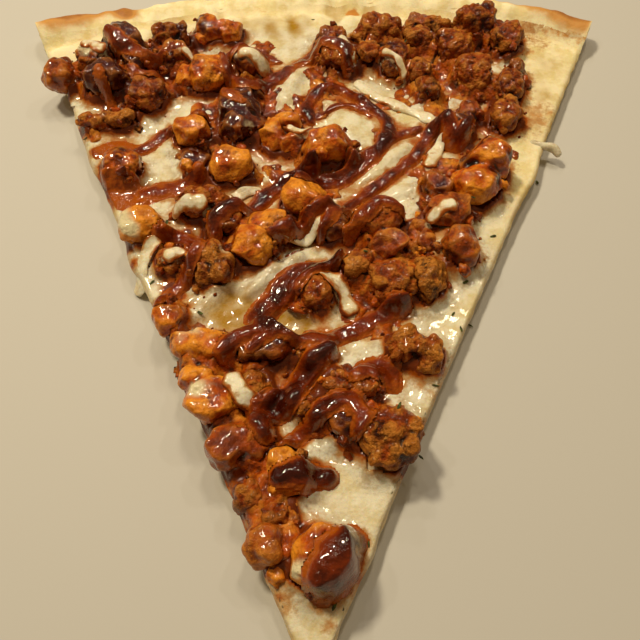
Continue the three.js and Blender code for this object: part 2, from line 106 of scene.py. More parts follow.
@dataclass(frozen=True)
class Lumps:
    """Repeatable lumps in space, `size` mm apart; another `seed` gives other lumps."""

    size: float
    seed: int

    def directions(self, corners: Array) -> Array:
        """Three repeatable numbers from -1 to 1 for each whole-numbered corner, from a hash."""
        whole = corners.astype(np.int64)
        mixed = whole @ np.array(CORNER_FACTORS) + self.seed * SEED_FACTOR
        mixed = ((mixed ^ (mixed >> 13)) * MIXING_FACTOR) & 0xFFFFFFFF
        mixed ^= mixed >> 16
        return np.stack([(mixed >> shift) & 0x3FF for shift in (0, 10, 20)], axis=-1) / 511.5 - 1.0

    def waves(self, points: Array) -> Array:
        """Smooth noise, about -1 to 1.

        Each corner of a lattice cell holds a direction. The dot product of that direction
        and the way from the corner is faded between the eight corners by 6f^5 - 15f^4 + 10f^3.

        Args:
            points: places in mm, n by 3.

        Returns:
            One value for each place.
        """
        scaled = points / self.size
        base = np.floor(scaled)
        part = scaled - base
        fade = part**3 * (part * (part * 6.0 - 15.0) + 10.0)
        total = np.zeros(len(points))
        for corner in itertools.product((0.0, 1.0), repeat=3):
            way = part - np.array(corner)
            weight = np.prod(np.where(corner, fade, 1.0 - fade), axis=1)
            total += weight * np.sum(way * self.directions(base + np.array(corner)), axis=1)
        return 1.5 * total

    def grains(self, points: Array) -> tuple[Array, Array]:
        """Distances to the nearest and second nearest of one random centre per cell.

        Args:
            points: places in mm, n by 3.

        Returns:
            The two distances, in shares of the size.
        """
        scaled = points / self.size
        base = np.floor(scaled)
        nearest = np.full(len(points), 9.0)
        second = nearest.copy()
        for offset in itertools.product((-1.0, 0.0, 1.0), repeat=3):
            corner = base + np.array(offset)
            centre = corner + 0.5 + 0.45 * self.directions(corner)
            distance = np.linalg.norm(scaled - centre, axis=1)
            second = np.minimum(second, np.maximum(nearest, distance))
            nearest = np.minimum(nearest, distance)
        return nearest, second


def flat_points(x: Array, y: Array) -> Array:
    """Places with height 0, for noise that is read from above."""
    return np.stack([x.ravel(), y.ravel(), np.zeros(x.size)], axis=1)


def waves_at(size: float, seed: int, x: Array, y: Array) -> Array:
    """Lumps read from above at x and y, in their shape."""
    return Lumps(size, seed).waves(flat_points(x, y)).reshape(x.shape)


def spline(route: Plan, step: float) -> Array:
    """A smooth line through given points, evenly spaced.

    Between two points p1 and p2, with p0 before and p3 after, the line is the cubic
    p1 + u (p2 - p0)/2 + u^2 (p0 - 5/2 p1 + 2 p2 - p3/2) + u^3 (3/2 (p1 - p2) + (p3 - p0)/2).

    Args:
        route: the points, in mm.
        step: the spacing of the result, in mm.

    Returns:
        Places along the line, n by 2 or 3 as the route is.
    """
    hand = np.array(route, float)
    padded = np.vstack([2 * hand[0] - hand[1], hand, 2 * hand[-1] - hand[-2]])
    p0, p1, p2, p3 = (padded[i : len(padded) - 3 + i, None, :] for i in range(4))
    u = np.linspace(0.0, 1.0, CURVE_STEPS, endpoint=False)[None, :, None]
    cubic = p1 + u * (p2 - p0) / 2 + u**2 * (p0 - 2.5 * p1 + 2 * p2 - p3 / 2)
    cubic = cubic + u**3 * (1.5 * (p1 - p2) + (p3 - p0) / 2)
    line = np.vstack([cubic.reshape(-1, hand.shape[1]), hand[-1:]])
    travelled = np.concatenate([[0.0], np.cumsum(np.linalg.norm(np.diff(line, axis=0), axis=1))])
    count = max(FEWEST_STEPS, int(round(travelled[-1] / step)))
    even = np.linspace(0.0, travelled[-1], count + 1)
    return np.stack([np.interp(even, travelled, column) for column in line.T], axis=1)


# ---------------- the wedge


@dataclass(frozen=True)
class Wedge:
    """Sizes of the dough and the cheese, in mm, and their main form."""

    radius: float = 229.0
    half_angle: float = math.radians(25.75)
    tip_radius: float = 3.5
    dough: float = 3.4
    rim_width: float = 15.0
    rim_crest: float = 5.0
    rim_undercut: float = 3.0
    rim_wobble: float = 0.35
    rim_blend: float = 6.0
    cheese: float = 1.7
    cheese_ripple: float = 0.28
    cheese_lip: float = 0.5
    pleat_height: float = 1.5
    pleat_width: float = 5.5
    pleat_length: float = 15.0
    pleats_from: float = 88.0
    pleats_full: float = 64.0
    cut_lean: float = 0.48
    left_waves: Plan = ((113, 1.3, 6), (155, 0.8, 6), (186, -1.2, 8), (79, -0.9, 5), (70, 0.7, 4))
    right_waves: Plan = ((140, 0.9, 45), (149, 1.2, 9), (27, 0.7, 4))
    rim_heights: Plan = (
        (-1, 9), (-0.88, 8.8), (-0.78, 6.6), (-0.7, 6.8), (-0.64, 5), (-0.4, 5.2),
        (0, 6.6), (0.5, 8), (0.75, 9), (1, 9),
    )
    mounds: Plan = (
        (13, 37, 9, 11, 1.5), (32, 42, 11, 7, 1.3), (-7, 58, 5, 11, 1.6), (21, 10, 7, 8, 1.0),
        (29, 1, 5, 11, 1.0), (-12, -21, 11, 7, 1.4), (6, -25, 5, 8, 1.0), (-45, -14, 6, 9, 1.0),
        (-17, -55, 4, 7, 1.8), (2, -52, 7, 9, 1.4), (15, -42, 10, 6, 1.2), (-2, -78, 7, 6, 0.9),
        (-68, 30, 8, 8, 0.9), (-8, 88, 24, 8, 1.0), (-30, -30, 8, 8, 0.8),
    )

    @property
    def shift(self) -> float:
        """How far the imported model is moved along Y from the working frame."""
        return -(self.tip_radius * math.cos(self.half_angle)) / 2

    @property
    def flat_end(self) -> float:
        """Where the dough starts to rise to the rim, from the pointed end."""
        return self.radius - self.rim_width

    def plan(self, r: Array, t: Array) -> tuple[Array, Array]:
        """Place of a point r from the pointed end, t from the left cut (-1) to the right (1)."""
        bulge = np.zeros(np.broadcast(r, t).shape)
        for waves, side in ((self.left_waves, t < 0), (self.right_waves, t >= 0)):
            for centre, height, reach in waves:
                bulge = bulge + side * height * np.exp(-(((r - centre) / reach) ** 2))
        angle = t * (self.half_angle + bulge / r)
        return r * np.sin(angle), r * np.cos(angle) - self.radius / 2

    def polar(self, x: Array, y: Array) -> tuple[Array, Array]:
        """Distance from the pointed end and place across the wedge, of points in plan."""
        ahead = y + self.radius / 2
        return np.hypot(x, ahead), np.arctan2(x, ahead) / self.half_angle

    def outward(self, left: bool) -> Array:
        """Away from the left or the right cut, as a step of 1 mm along X."""
        return np.array([-1.0 if left else 1.0, -self.cut_lean, 0.0])

    def rim_height(self, t: Array) -> Array:
        """Height of the crest along the crust, going smoothly from row to row of the table."""
        places, values = np.array(self.rim_heights).T
        inside = np.clip(t, -1.0, 1.0)
        nearest = np.clip(np.searchsorted(places, inside, side="right") - 1, 0, len(places) - 2)
        share = (inside - places[nearest]) / (places[nearest + 1] - places[nearest])
        share = share * share * (3 - 2 * share)
        wobble = self.rim_wobble * np.sin(17 * t + 1) * np.cos(7 * t)
        return mix(values[nearest], values[nearest + 1], share) + wobble

    def dough_top(self, r: Array, t: Array) -> Array:
        """Height of the dough: flat, then rising to the crest."""
        climb = smoothstep(self.flat_end, self.radius - self.rim_crest, r)
        return mix(self.dough, self.rim_height(t), climb)

    def rising(self, r: Array) -> Array:
        """0 on the flat dough and 1 on the rim, for what only lies on the rim."""
        return smoothstep(self.flat_end, self.flat_end + self.rim_blend, r)

    def cheese_top(self, x: Array, y: Array) -> Array:
        """Height of the cheese in its main form: rippled, gathered in mounds, thin at the rim."""
        r, t = self.polar(x, y)
        ripple = self.cheese_ripple * np.sin(x / 6.1 + 1.3 * np.sin(y / 9)) * np.cos(y / 7.3 - x / 19)
        depth = self.cheese + ripple
        for cx, cy, rx, ry, height in self.mounds:
            depth = depth + height * np.exp(-(((x - cx) / rx) ** 2) - ((y - cy) / ry) ** 2)
        ending = smoothstep(self.flat_end - 4, self.radius - self.rim_crest - 2, r)
        return self.dough_top(r, t) + mix(depth, self.cheese_lip, ending)

    def pleats(self, x: Array, r: Array) -> Array:
        """Soft folds that run in towards the pointed end, fading out at both corners."""
        folds = waves_at(1.0, 66, x / self.pleat_width, r / self.pleat_length)
        return folds * smoothstep(self.pleats_from, self.pleats_full, np.abs(x))

    def rim_relief(self, points: Array) -> Array:
        """How far the baked rim stands out of its plain form: lumps, pleats and blisters, in mm."""
        r, _ = self.polar(points[:, 0], points[:, 1])
        lumps = 0.5 * Lumps(10, 61).waves(points) + 0.3 * Lumps(4.2, 62).waves(points)
        nearest, _ = Lumps(7.5, 63).grains(points)
        blisters = 0.5 * smoothstep(0.42, 0.1, nearest) * (Lumps(16, 64).waves(points) > 0.1)
        fine = 0.07 * Lumps(1.3, 65).waves(points)
        total = lumps + blisters + fine + self.pleat_height * self.pleats(points[:, 0], r)
        return total * self.rising(r)


WEDGE = Wedge()


# ---------------- maps seen from above


@dataclass(frozen=True)
class Chart:
    """A square net of values over the slice, seen from above."""

    values: Array
    step: float = 0.5
    low: tuple[float, float] = CHART_LOW

    @classmethod
    def blank(cls, step: float = 0.5) -> "Chart":
        """A net of zeros that covers the slice and a little around it."""
        return cls(np.zeros((int(CHART_SIZE[1] / step), int(CHART_SIZE[0] / step))), step)

    def holding(self, values: Array) -> "Chart":
        """The same net with other values."""
        return replace(self, values=values)

    def grid(self) -> tuple[Array, Array]:
        """x and y of every point of the net."""
        rows, columns = self.values.shape
        x = self.low[0] + self.step * np.arange(columns)
        y = self.low[1] + self.step * np.arange(rows)
        return np.meshgrid(x, y)

    def at(self, x: Array, y: Array) -> Array:
        """Values at places in plan, going evenly between the four nearest points."""
        rows, columns = self.values.shape
        u = np.clip((x - self.low[0]) / self.step, 0, columns - 1.001)
        v = np.clip((y - self.low[1]) / self.step, 0, rows - 1.001)
        i, j = v.astype(int), u.astype(int)
        a, b = u - j, v - i
        near = mix(self.values[i, j], self.values[i, j + 1], a)
        far = mix(self.values[i + 1, j], self.values[i + 1, j + 1], a)
        return mix(near, far, b)

    def raised(self, points: Array) -> "Chart":
        """The net lifted to the highest of the points that fall on each place."""
        rows, columns = self.values.shape
        j = np.clip(np.round((points[:, 0] - self.low[0]) / self.step).astype(int), 0, columns - 1)
        i = np.clip(np.round((points[:, 1] - self.low[1]) / self.step).astype(int), 0, rows - 1)
        values = self.values.copy()
        np.maximum.at(values, (i, j), points[:, 2])
        return self.holding(values)

    def spread(self, reach: float) -> "Chart":
        """Each value becomes the highest one within `reach` mm."""
        cells = int(round(reach / self.step))
        values = self.values
        for i, j in itertools.product(range(-cells, cells + 1), repeat=2):
            if 0 < i * i + j * j <= cells * cells + 0.5:
                values = np.maximum(values, np.roll(self.values, (i, j), axis=(0, 1)))
        return self.holding(values)

    def blurred(self, reach: float) -> "Chart":
        """Averaged over about `reach` mm, with weights exp(-d^2 / (2 reach^2))."""
        rows, columns = self.values.shape
        pace = 2 * math.pi * reach / self.step
        down = np.exp(-((pace * np.fft.fftfreq(rows)) ** 2) / 2)
        along = np.exp(-((pace * np.fft.rfftfreq(columns)) ** 2) / 2)
        waves = np.fft.rfft2(self.values) * down[:, None] * along[None, :]
        return self.holding(np.fft.irfft2(waves, s=self.values.shape))


def blanket(
    net: Chart, top: Array, bottom: Array, edge: Array, kept: NDArray[np.bool_]
) -> tuple[Array, Indices]:
    """A closed skin over some cells of a net.

    Where the kept cells end, the top and the underside meet at the height `edge`.

    Args:
        net: gives the places in plan.
        top: height of the upper side at every point.
        bottom: height of the underside.
        edge: height where they meet.
        kept: whether each cell has any skin; one row and one column less than the points.

    Returns:
        Points, with the numbers of their place in the net as a fourth channel, and triangles.
    """
    x, y = net.grid()
    full = np.zeros(x.shape, bool)
    for _ in range(3):
        full[1:-1, 1:-1] = ~any_corner(~kept)
        kept = kept & any_corner(full)
    number = np.arange(x.size).reshape(x.shape)
    under = np.where(full, number + x.size, number)
    upper = np.stack([x, y, np.where(full, top, edge), number], axis=2).reshape(-1, 4)
    lower = np.stack([x, y, bottom, number], axis=2).reshape(-1, 4)
    sides = []
    for layer, order in ((number, (0, 1, 2, 0, 2, 3)), (under, (0, 2, 1, 0, 3, 2))):
        corners = [layer[:-1, :-1], layer[:-1, 1:], layer[1:, 1:], layer[1:, :-1]]
        flat = [corner[kept] for corner in corners]
        sides.append(np.stack([flat[k] for k in order[:3]], axis=1))
        sides.append(np.stack([flat[k] for k in order[3:]], axis=1))
    used, triangles = np.unique(np.concatenate(sides), return_inverse=True)
    return np.concatenate([upper, lower])[used], triangles.reshape(-1, 3)


def spots_at(spots: Plan, x: Array, y: Array) -> Array:
    """Soft round spots, each (x, y, reach, strength), added up to at most 1."""
    total = np.zeros(np.shape(x))
    for cx, cy, reach, strength in spots:
        total = total + strength * np.exp(-(((x - cx) ** 2 + (y - cy) ** 2) / reach**2))
    return np.clip(total, 0, 1)


@dataclass(frozen=True)
class Layout:
    """Charts of where things are on the slice, for what is laid by them.

    meat is the height of the chicken, 0 beside it; near and zone are the share of chicken
    within about 1 and 3 mm; wetted is 1 on the drizzle, veiled is 1 on the strands of
    cheese, and soaked is 1 where sauce soaked everything.
    """

    meat: Chart
    near: Chart
    zone: Chart
    wetted: Chart
    veiled: Chart
    soaked: Chart


# ---------------- meshes


class Skin:
    """Gathers patches of one closed surface and welds the corners that they share."""

    weld: float = 1e-4

    def __init__(self) -> None:
        """Starts with nothing."""
        self._points: list[Array] = []
        self._triangles: list[Indices] = []
        self._count = 0

    def _take(self, points: Array) -> Indices:
        """Stores points and gives their numbers, in the same layout."""
        flat = points.reshape(-1, points.shape[-1])
        self._points.append(flat)
        self._count += len(flat)
        return np.arange(self._count - len(flat), self._count).reshape(points.shape[:-1])

    def _add(self, a: Indices, b: Indices, c: Indices, flip: bool) -> None:
        """Stores triangles, turned round where `flip` is set."""
        order = (a, c, b) if flip else (a, b, c)
        self._triangles.append(np.stack([side.ravel() for side in order], axis=1))

    def grid(self, points: Array, flip: bool = False) -> None:
        """Skin over rows of points; it faces up where rows run along +Y and columns along +X."""
        index = self._take(points)
        a, b, c, d = index[:-1, :-1], index[:-1, 1:], index[1:, 1:], index[1:, :-1]
        self._add(a, b, c, flip)
        self._add(a, c, d, flip)

    def ladder(self, lower: Array, upper: Array, flip: bool = False) -> None:
        """Skin between two lines of evenly spread points that may differ in number."""
        low, high = self._take(lower), self._take(upper)
        next_low = np.arange(1, len(low)) / (len(low) - 1)
        next_high = np.arange(1, len(high)) / (len(high) - 1)
        order = np.argsort(np.concatenate([next_low, next_high]), kind="stable")
        from_low = order < len(next_low)
        i = np.cumsum(from_low) - from_low
        k = np.cumsum(~from_low) - ~from_low
        self._add(low[i][from_low], low[(i + 1)[from_low]], high[k][from_low], flip)
        self._add(low[i][~from_low], high[(k + 1)[~from_low]], high[k][~from_low], flip)

    def closed(self) -> tuple[Array, Indices]:
        """Welded points, with any further channels after x, y and z, and the triangles."""
        every = np.concatenate(self._points)
        keys = np.round(every[:, :3] / self.weld).astype(np.int64)
        _, first, number = np.unique(keys, axis=0, return_index=True, return_inverse=True)
        triangles = number.ravel()[np.concatenate(self._triangles)]
        a, b, c = triangles.T
        return every[first], triangles[(a != b) & (b != c) & (c != a)]


@dataclass
class Net:
    """An even net of small quads over one solid, in working mm."""

    points: Array
    faces: Indices
    edges: Indices

    def around(self, values: Array) -> Array:
        """Mean of each point's neighbours."""
        first, second = self.edges.T
        count = len(values)
        share = np.bincount(self.edges.ravel(), minlength=count)
        total = [
            np.bincount(first, column[second], count) + np.bincount(second, column[first], count)
            for column in values.T
        ]
        return np.stack(total, axis=1) / np.maximum(share, 1)[:, None]

    def relaxed(self, points: Array, times: int) -> Array:
        """Points drawn half way to the mean of their neighbours, several times over."""
        for _ in range(times):
            points = mix(points, self.around(points), 0.5)
        return points

    def normals(self, points: Array) -> Array:
        """Outward directions: the mean of the crossed diagonals of the faces round a point."""
        a, b, c, d = (points[self.faces[:, k]] for k in range(4))
        facing = np.cross(c - a, d - b)
        total = np.zeros_like(points)
        for k, axis in itertools.product(range(4), range(3)):
            total[:, axis] += np.bincount(self.faces[:, k], facing[:, axis], len(points))
        return unit(total)


def shown(name: str, data: bpy.types.ID) -> bpy.types.Object:
    """A new object in the scene."""
    thing = bpy.data.objects.new(name, data)
    bpy.context.scene.collection.objects.link(thing)
    return thing


def net_of(node: bpy.types.Object, cell: float) -> Net:
    """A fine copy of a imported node.

    Args:
        node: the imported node, which stays as it is.
        cell: size of the quads, in mm.

    Returns:
        The net, in the working frame.
    """
    mesh = node.data.copy()
    build = bmesh.new()
    build.from_mesh(mesh)
    bmesh.ops.remove_doubles(build, verts=build.verts, dist=1e-6)
    build.to_mesh(mesh)
    build.free()
    mesh.transform(Matrix.Scale(1 / MM, 4))
    rough = shown("rough", mesh)
    remesh = rough.modifiers.new("even", "REMESH")
    remesh.mode = "VOXEL"
    remesh.voxel_size = cell
    fine = rough.evaluated_get(bpy.context.evaluated_depsgraph_get()).to_mesh()
    points = np.empty(3 * len(fine.vertices))
    fine.vertices.foreach_get("co", points)
    faces = np.empty(len(fine.loops), np.int64)
    fine.loops.foreach_get("vertex_index", faces)
    edges = np.empty(2 * len(fine.edges), np.int64)
    fine.edges.foreach_get("vertices", edges)
    bpy.data.objects.remove(rough)
    bpy.data.meshes.remove(mesh)
    places = points.reshape(-1, 3) - np.array([0.0, WEDGE.shift, 0.0])
    return Net(places, faces.reshape(-1, 4), edges.reshape(-1, 2))


def make_piece(
    name: str, points: Array, faces: Indices, material: Material,
    attributes: dict[str, Array | float] | None = None, replaces: tuple[str, ...] = (),
) -> bpy.types.Object:
    """Turns arrays into a piece of the slice.

    Args:
        name: the piece's name.
        points: places in working mm, n by 3.
        faces: corners of each face, m by 3 or 4.
        material: its finish.
        attributes: values that the finish reads, for each point or for all.
        replaces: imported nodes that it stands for.

    Returns:
        The new object.
    """
    mesh = bpy.data.meshes.new(name)
    placed = (points[:, :3] + np.array([0.0, WEDGE.shift, 0.0])) * MM
    mesh.from_pydata(placed, [], faces.tolist())
    mesh.update(calc_edges=True)
    mesh.shade_smooth()
    for label, values in (attributes or {}).items():
        layer = mesh.attributes.new(label, "FLOAT", "POINT")
        layer.data.foreach_set("value", np.full(len(points), values, np.float32))
    mesh.materials.append(material)
    piece = shown(name, mesh)
    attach(piece, BODY)
    if replaces:
        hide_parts(*replaces)
    log.info("%s: %d points, %d faces", name, len(mesh.vertices), len(mesh.polygons))
    return piece


# ---------------- shader trees


Value = Socket | float | tuple[float, ...]


def tint(code: str) -> tuple[float, float, float, float]:
    """A colour such as 'e1d4a0', as it looks on a screen, in the linear values of a shader."""
    shown = [int(code[i : i + 2], 16) / 255 for i in (0, 2, 4)]
    linear = [c / 12.92 if c <= 0.04045 else ((c + 0.055) / 1.055) ** 2.4 for c in shown]
    return (*linear, 1.0)


class Wiring:
    """Lays out one node tree."""

    def __init__(self, tree: bpy.types.NodeTree) -> None:
        """Starts on an empty tree."""
        self.tree = tree
        tree.nodes.clear()

    def put(self, value: Value, socket: Socket) -> None:
        """Links a socket, or sets a plain value."""
        if isinstance(value, Socket):
            self.tree.links.new(value, socket)
        else:
            socket.default_value = value

    def node(self, kind: str, settings: dict | None = None, inputs: dict | None = None) -> bpy.types.Node:
        """Adds a node with its properties and inputs."""
        made = self.tree.nodes.new(kind)
        for label, value in (settings or {}).items():
            setattr(made, label, value)
        for label, value in (inputs or {}).items():
            self.put(value, made.inputs[label])
        return made

    def group(self, tree: bpy.types.NodeTree, inputs: dict[str, Value]) -> bpy.types.Node:
        """Places a group with its values."""
        return self.node("ShaderNodeGroup", {"node_tree": tree}, inputs)

    def place(self) -> Socket:
        """Where a point is on the object, in metres."""
        return self.node("ShaderNodeTexCoord").outputs["Object"]

    def layer(self, name: str) -> Socket:
        """A value that the mesh holds for each point."""
        return self.node("ShaderNodeAttribute", {"attribute_name": name}).outputs["Fac"]

    def noise(self, pitch: float, detail: float = 3.0, rough: float = 0.55, offset: float = 0.0) -> Value:
        """Noise from 0 to 1 with spots about `pitch` mm apart."""
        where = self.node("ShaderNodeMapping", None, {"Vector": self.place(), "Location": (offset,) * 3})
        inputs = {
            "Vector": where.outputs[0], "Scale": 1 / (pitch * MM), "Detail": detail, "Roughness": rough}
        return self.node("ShaderNodeTexNoise", None, inputs).outputs["Fac"]

    def math(self, operation: str, first: Value, second: Value, clamp: bool = False) -> Value:
        """One sum on two values."""
        made = self.node("ShaderNodeMath", {"operation": operation, "use_clamp": clamp})
        self.put(first, made.inputs[0])
        self.put(second, made.inputs[1])
        return made.outputs[0]

    def add(self, first: Value, second: Value, clamp: bool = False) -> Value:
        """The sum of two values."""
        return self.math("ADD", first, second, clamp)

    def times(self, value: Value, factor: Value) -> Value:
        """A value taken so many times."""
        return self.math("MULTIPLY", value, factor)

    def around(self, middle: float, value: Value, height: float) -> Value:
        """How far a value is from its middle, `height` times as large."""
        return self.times(self.math("SUBTRACT", value, middle), height)

    def band(self, value: Value, low: float, high: float, start: float = 0.0, end: float = 1.0) -> Value:
        """`start` up to `low`, `end` from `high`, and smooth between."""
        inputs = {"Value": value, "From Min": low, "From Max": high, "To Min": start, "To Max": end}
        made = self.node("ShaderNodeMapRange", {"interpolation_type": "SMOOTHSTEP"}, inputs)
        return made.outputs["Result"]

    def blend(self, share: Value, first: Value, second: Value, how: str = "MIX") -> Value:
        """Goes from the first colour to the second."""
        made = self.node("ShaderNodeMix", {"data_type": "RGBA", "blend_type": how})
        self.put(share, made.inputs["Factor"])
        self.put(first, made.inputs[6])
        self.put(second, made.inputs[7])
        return made.outputs[2]

    def bump(self, height: Value, distance: float, strength: float = 1.0) -> Value:
        """Small relief, `distance` mm high where the height goes from 0 to 1."""
        inputs = {"Height": height, "Distance": distance * MM, "Strength": strength}
        return self.node("ShaderNodeBump", None, inputs).outputs["Normal"]


@dataclass(frozen=True)
class Gloss:
    """Shader constants of a finish."""

    subsurface: float = 0.0
    reach: tuple[float, float, float] = (1.0, 0.4, 0.15)
    depth: float = 1.0
    coat_roughness: float = 0.1
    specular: float = 0.5
    ior: float = 1.45


def finish(
    wire: Wiring, gloss: Gloss, color: Value, roughness: Value, normal: Value | None, coat: Value = 0.0
) -> None:
    """Ends a material's tree in one shader."""
    shader = wire.node("ShaderNodeBsdfPrincipled", None, {
        "Base Color": color, "Roughness": roughness, "Coat Weight": coat,
        "Subsurface Weight": gloss.subsurface, "Subsurface Radius": gloss.reach,
        "Subsurface Scale": gloss.depth * MM, "Coat Roughness": gloss.coat_roughness,
        "Specular IOR Level": gloss.specular, "IOR": gloss.ior,
    })
    if normal is not None:
        wire.put(normal, shader.inputs["Normal"])
    wire.node("ShaderNodeOutputMaterial", None, {"Surface": shader.outputs[0]})


def new_material(name: str) -> tuple[Material, Wiring]:
    """An empty material and its wiring."""
    material = bpy.data.materials.new(name)
    material.use_nodes = True
    return material, Wiring(material.node_tree)


def new_group(name: str, inputs: dict[str, str], outputs: dict[str, str]) -> tuple:
    """A shader node group with its sockets.

    Args:
        name: the group's name.
        inputs: socket names and kinds, such as "NodeSocketColor".
        outputs: the same for what it puts out.

    Returns:
        The tree, its wiring, the sockets that come in, and the node that takes what goes out.
    """
    tree = bpy.data.node_groups.new(name, "ShaderNodeTree")
    for direction, sockets in (("INPUT", inputs), ("OUTPUT", outputs)):
        for label, kind in sockets.items():
            tree.interface.new_socket(name=label, in_out=direction, socket_type=kind)
    wire = Wiring(tree)
    source = wire.node("NodeGroupInput")
    target = wire.node("NodeGroupOutput")
    return tree, wire, source.outputs, target.inputs


COLOR, FLOAT = "NodeSocketColor", "NodeSocketFloat"


def make_mottle() -> bpy.types.NodeTree:
    """Blotches of a second colour in a first one, in two sizes."""
    inputs = {"Color": COLOR, "Blotch": COLOR, "Pitch": FLOAT, "Amount": FLOAT}
    tree, wire, given, wanted = new_group("mottle", inputs, {"Color": COLOR})
    place = wire.place()
    pace = wire.math("DIVIDE", 1 / MM, given["Pitch"])
    large = wire.node("ShaderNodeTexNoise", None, {"Vector": place, "Scale": pace, "Detail": 4.0})
    finer = wire.times(pace, 4.3)
    small = wire.node("ShaderNodeTexNoise", None, {"Vector": place, "Scale": finer, "Detail": 3.0})
    both = wire.add(wire.times(large.outputs["Fac"], 0.7), wire.times(small.outputs["Fac"], 0.3))
    mask = wire.math("MULTIPLY", wire.band(both, 0.42, 0.62), given["Amount"], clamp=True)
    wire.put(wire.blend(mask, given["Color"], given["Blotch"]), wanted["Color"])
    return tree


def make_film() -> bpy.types.NodeTree:
    """Sauce over another colour: thin it filters it to red-brown, thick it is a dark gloss."""
    middle, wet_roughness = "742e06", 0.2
    inputs = {"Color": COLOR, "Filter": COLOR, "Thick": COLOR, "Film": FLOAT, "Roughness": FLOAT}
    outputs = {"Color": COLOR, "Roughness": FLOAT, "Coat": FLOAT}
    tree, wire, given, wanted = new_group("sauce film", inputs, outputs)
    share = wire.band(given["Film"], 0.08, 0.5)
    filtered = wire.blend(share, given["Color"], given["Filter"], "MULTIPLY")
    deeper = wire.blend(wire.band(given["Film"], 0.45, 0.8), filtered, tint(middle))
    covered = wire.blend(wire.band(given["Film"], 0.65, 1.0), deeper, given["Thick"])
    wet = wire.band(given["Film"], 0.2, 0.7)
    wire.put(covered, wanted["Color"])
    roughness = wire.node("ShaderNodeMix", {"data_type": "FLOAT"})
    wire.put(wet, roughness.inputs["Factor"])
    wire.put(given["Roughness"], roughness.inputs[2])
    roughness.inputs[3].default_value = wet_roughness
    wire.put(roughness.outputs[0], wanted["Roughness"])
    wire.put(wire.band(given["Film"], 0.05, 0.6, 0.3, 0.9), wanted["Coat"])
    return tree


MOTTLE = make_mottle()
FILM = make_film()


def mottled(wire: Wiring, first: str, second: str, pitch: float, amount: float) -> Value:
    """The first colour with blotches of the second, `pitch` mm apart."""
    inputs = {"Color": tint(first), "Blotch": tint(second), "Pitch": pitch, "Amount": amount}
    return wire.group(MOTTLE, inputs).outputs["Color"]


# ---------------- finishes


@dataclass(frozen=True)
class Bread:
    """How the pale parts of the baked dough look, also through the thin end of the cheese and, as painted
    light, on the cheese's right margin.
    """

    cream: str = "fbf0c6"
    shade: str = "e6d494"
    pitch: float = 7.0
    amount: float = 0.8

    def color(self, wire: Wiring) -> Value:
        """Cream with slightly darker blotches."""
        return mottled(wire, self.cream, self.shade, self.pitch, self.amount)


@dataclass(frozen=True)
class DoughFinish:
    """Baked dough: pale cream, toasted on the rim's edge, floury and browned underneath."""

    bread: Bread = Bread()
    toasted: str = "cf9448"
    burnt: str = "9a5a22"
    crumb: str = "ecd9a8"
    flour: str = "e9d9b6"
    relief: float = 0.16

    def material(self) -> Material:
        """Reads the layers toast, under and cut of the mesh."""
        material, wire = new_material("baked dough")
        toast = wire.layer("toast")
        patchy = wire.add(toast, wire.times(wire.noise(5.0, 5.0), 0.5))
        baked = wire.blend(wire.band(patchy, 0.45, 0.95), self.bread.color(wire), tint(self.toasted))
        baked = wire.blend(wire.band(patchy, 1.0, 1.4, 0.0, 0.85), baked, tint(self.burnt))
        spots = wire.band(wire.noise(4.2, 4.0, 0.6, 3.0), 0.6, 0.72, 0.0, 0.8)
        below = wire.blend(spots, mottled(wire, self.flour, self.toasted, 7.0, 0.9), tint(self.burnt))
        color = wire.blend(wire.layer("under"), baked, below)
        inside = mottled(wire, self.crumb, self.bread.shade, 2.5, 0.8)
        color = wire.blend(wire.layer("cut"), color, inside)
        roughness = wire.band(toast, 0.2, 0.9, 0.72, 0.5)
        fine = wire.add(wire.noise(0.7, 4.0, 0.6), wire.noise(2.6, 3.0))
        gloss = Gloss(subsurface=0.12, depth=1.5, specular=0.3)
        finish(wire, gloss, color, roughness, wire.bump(fine, self.relief))
        return material


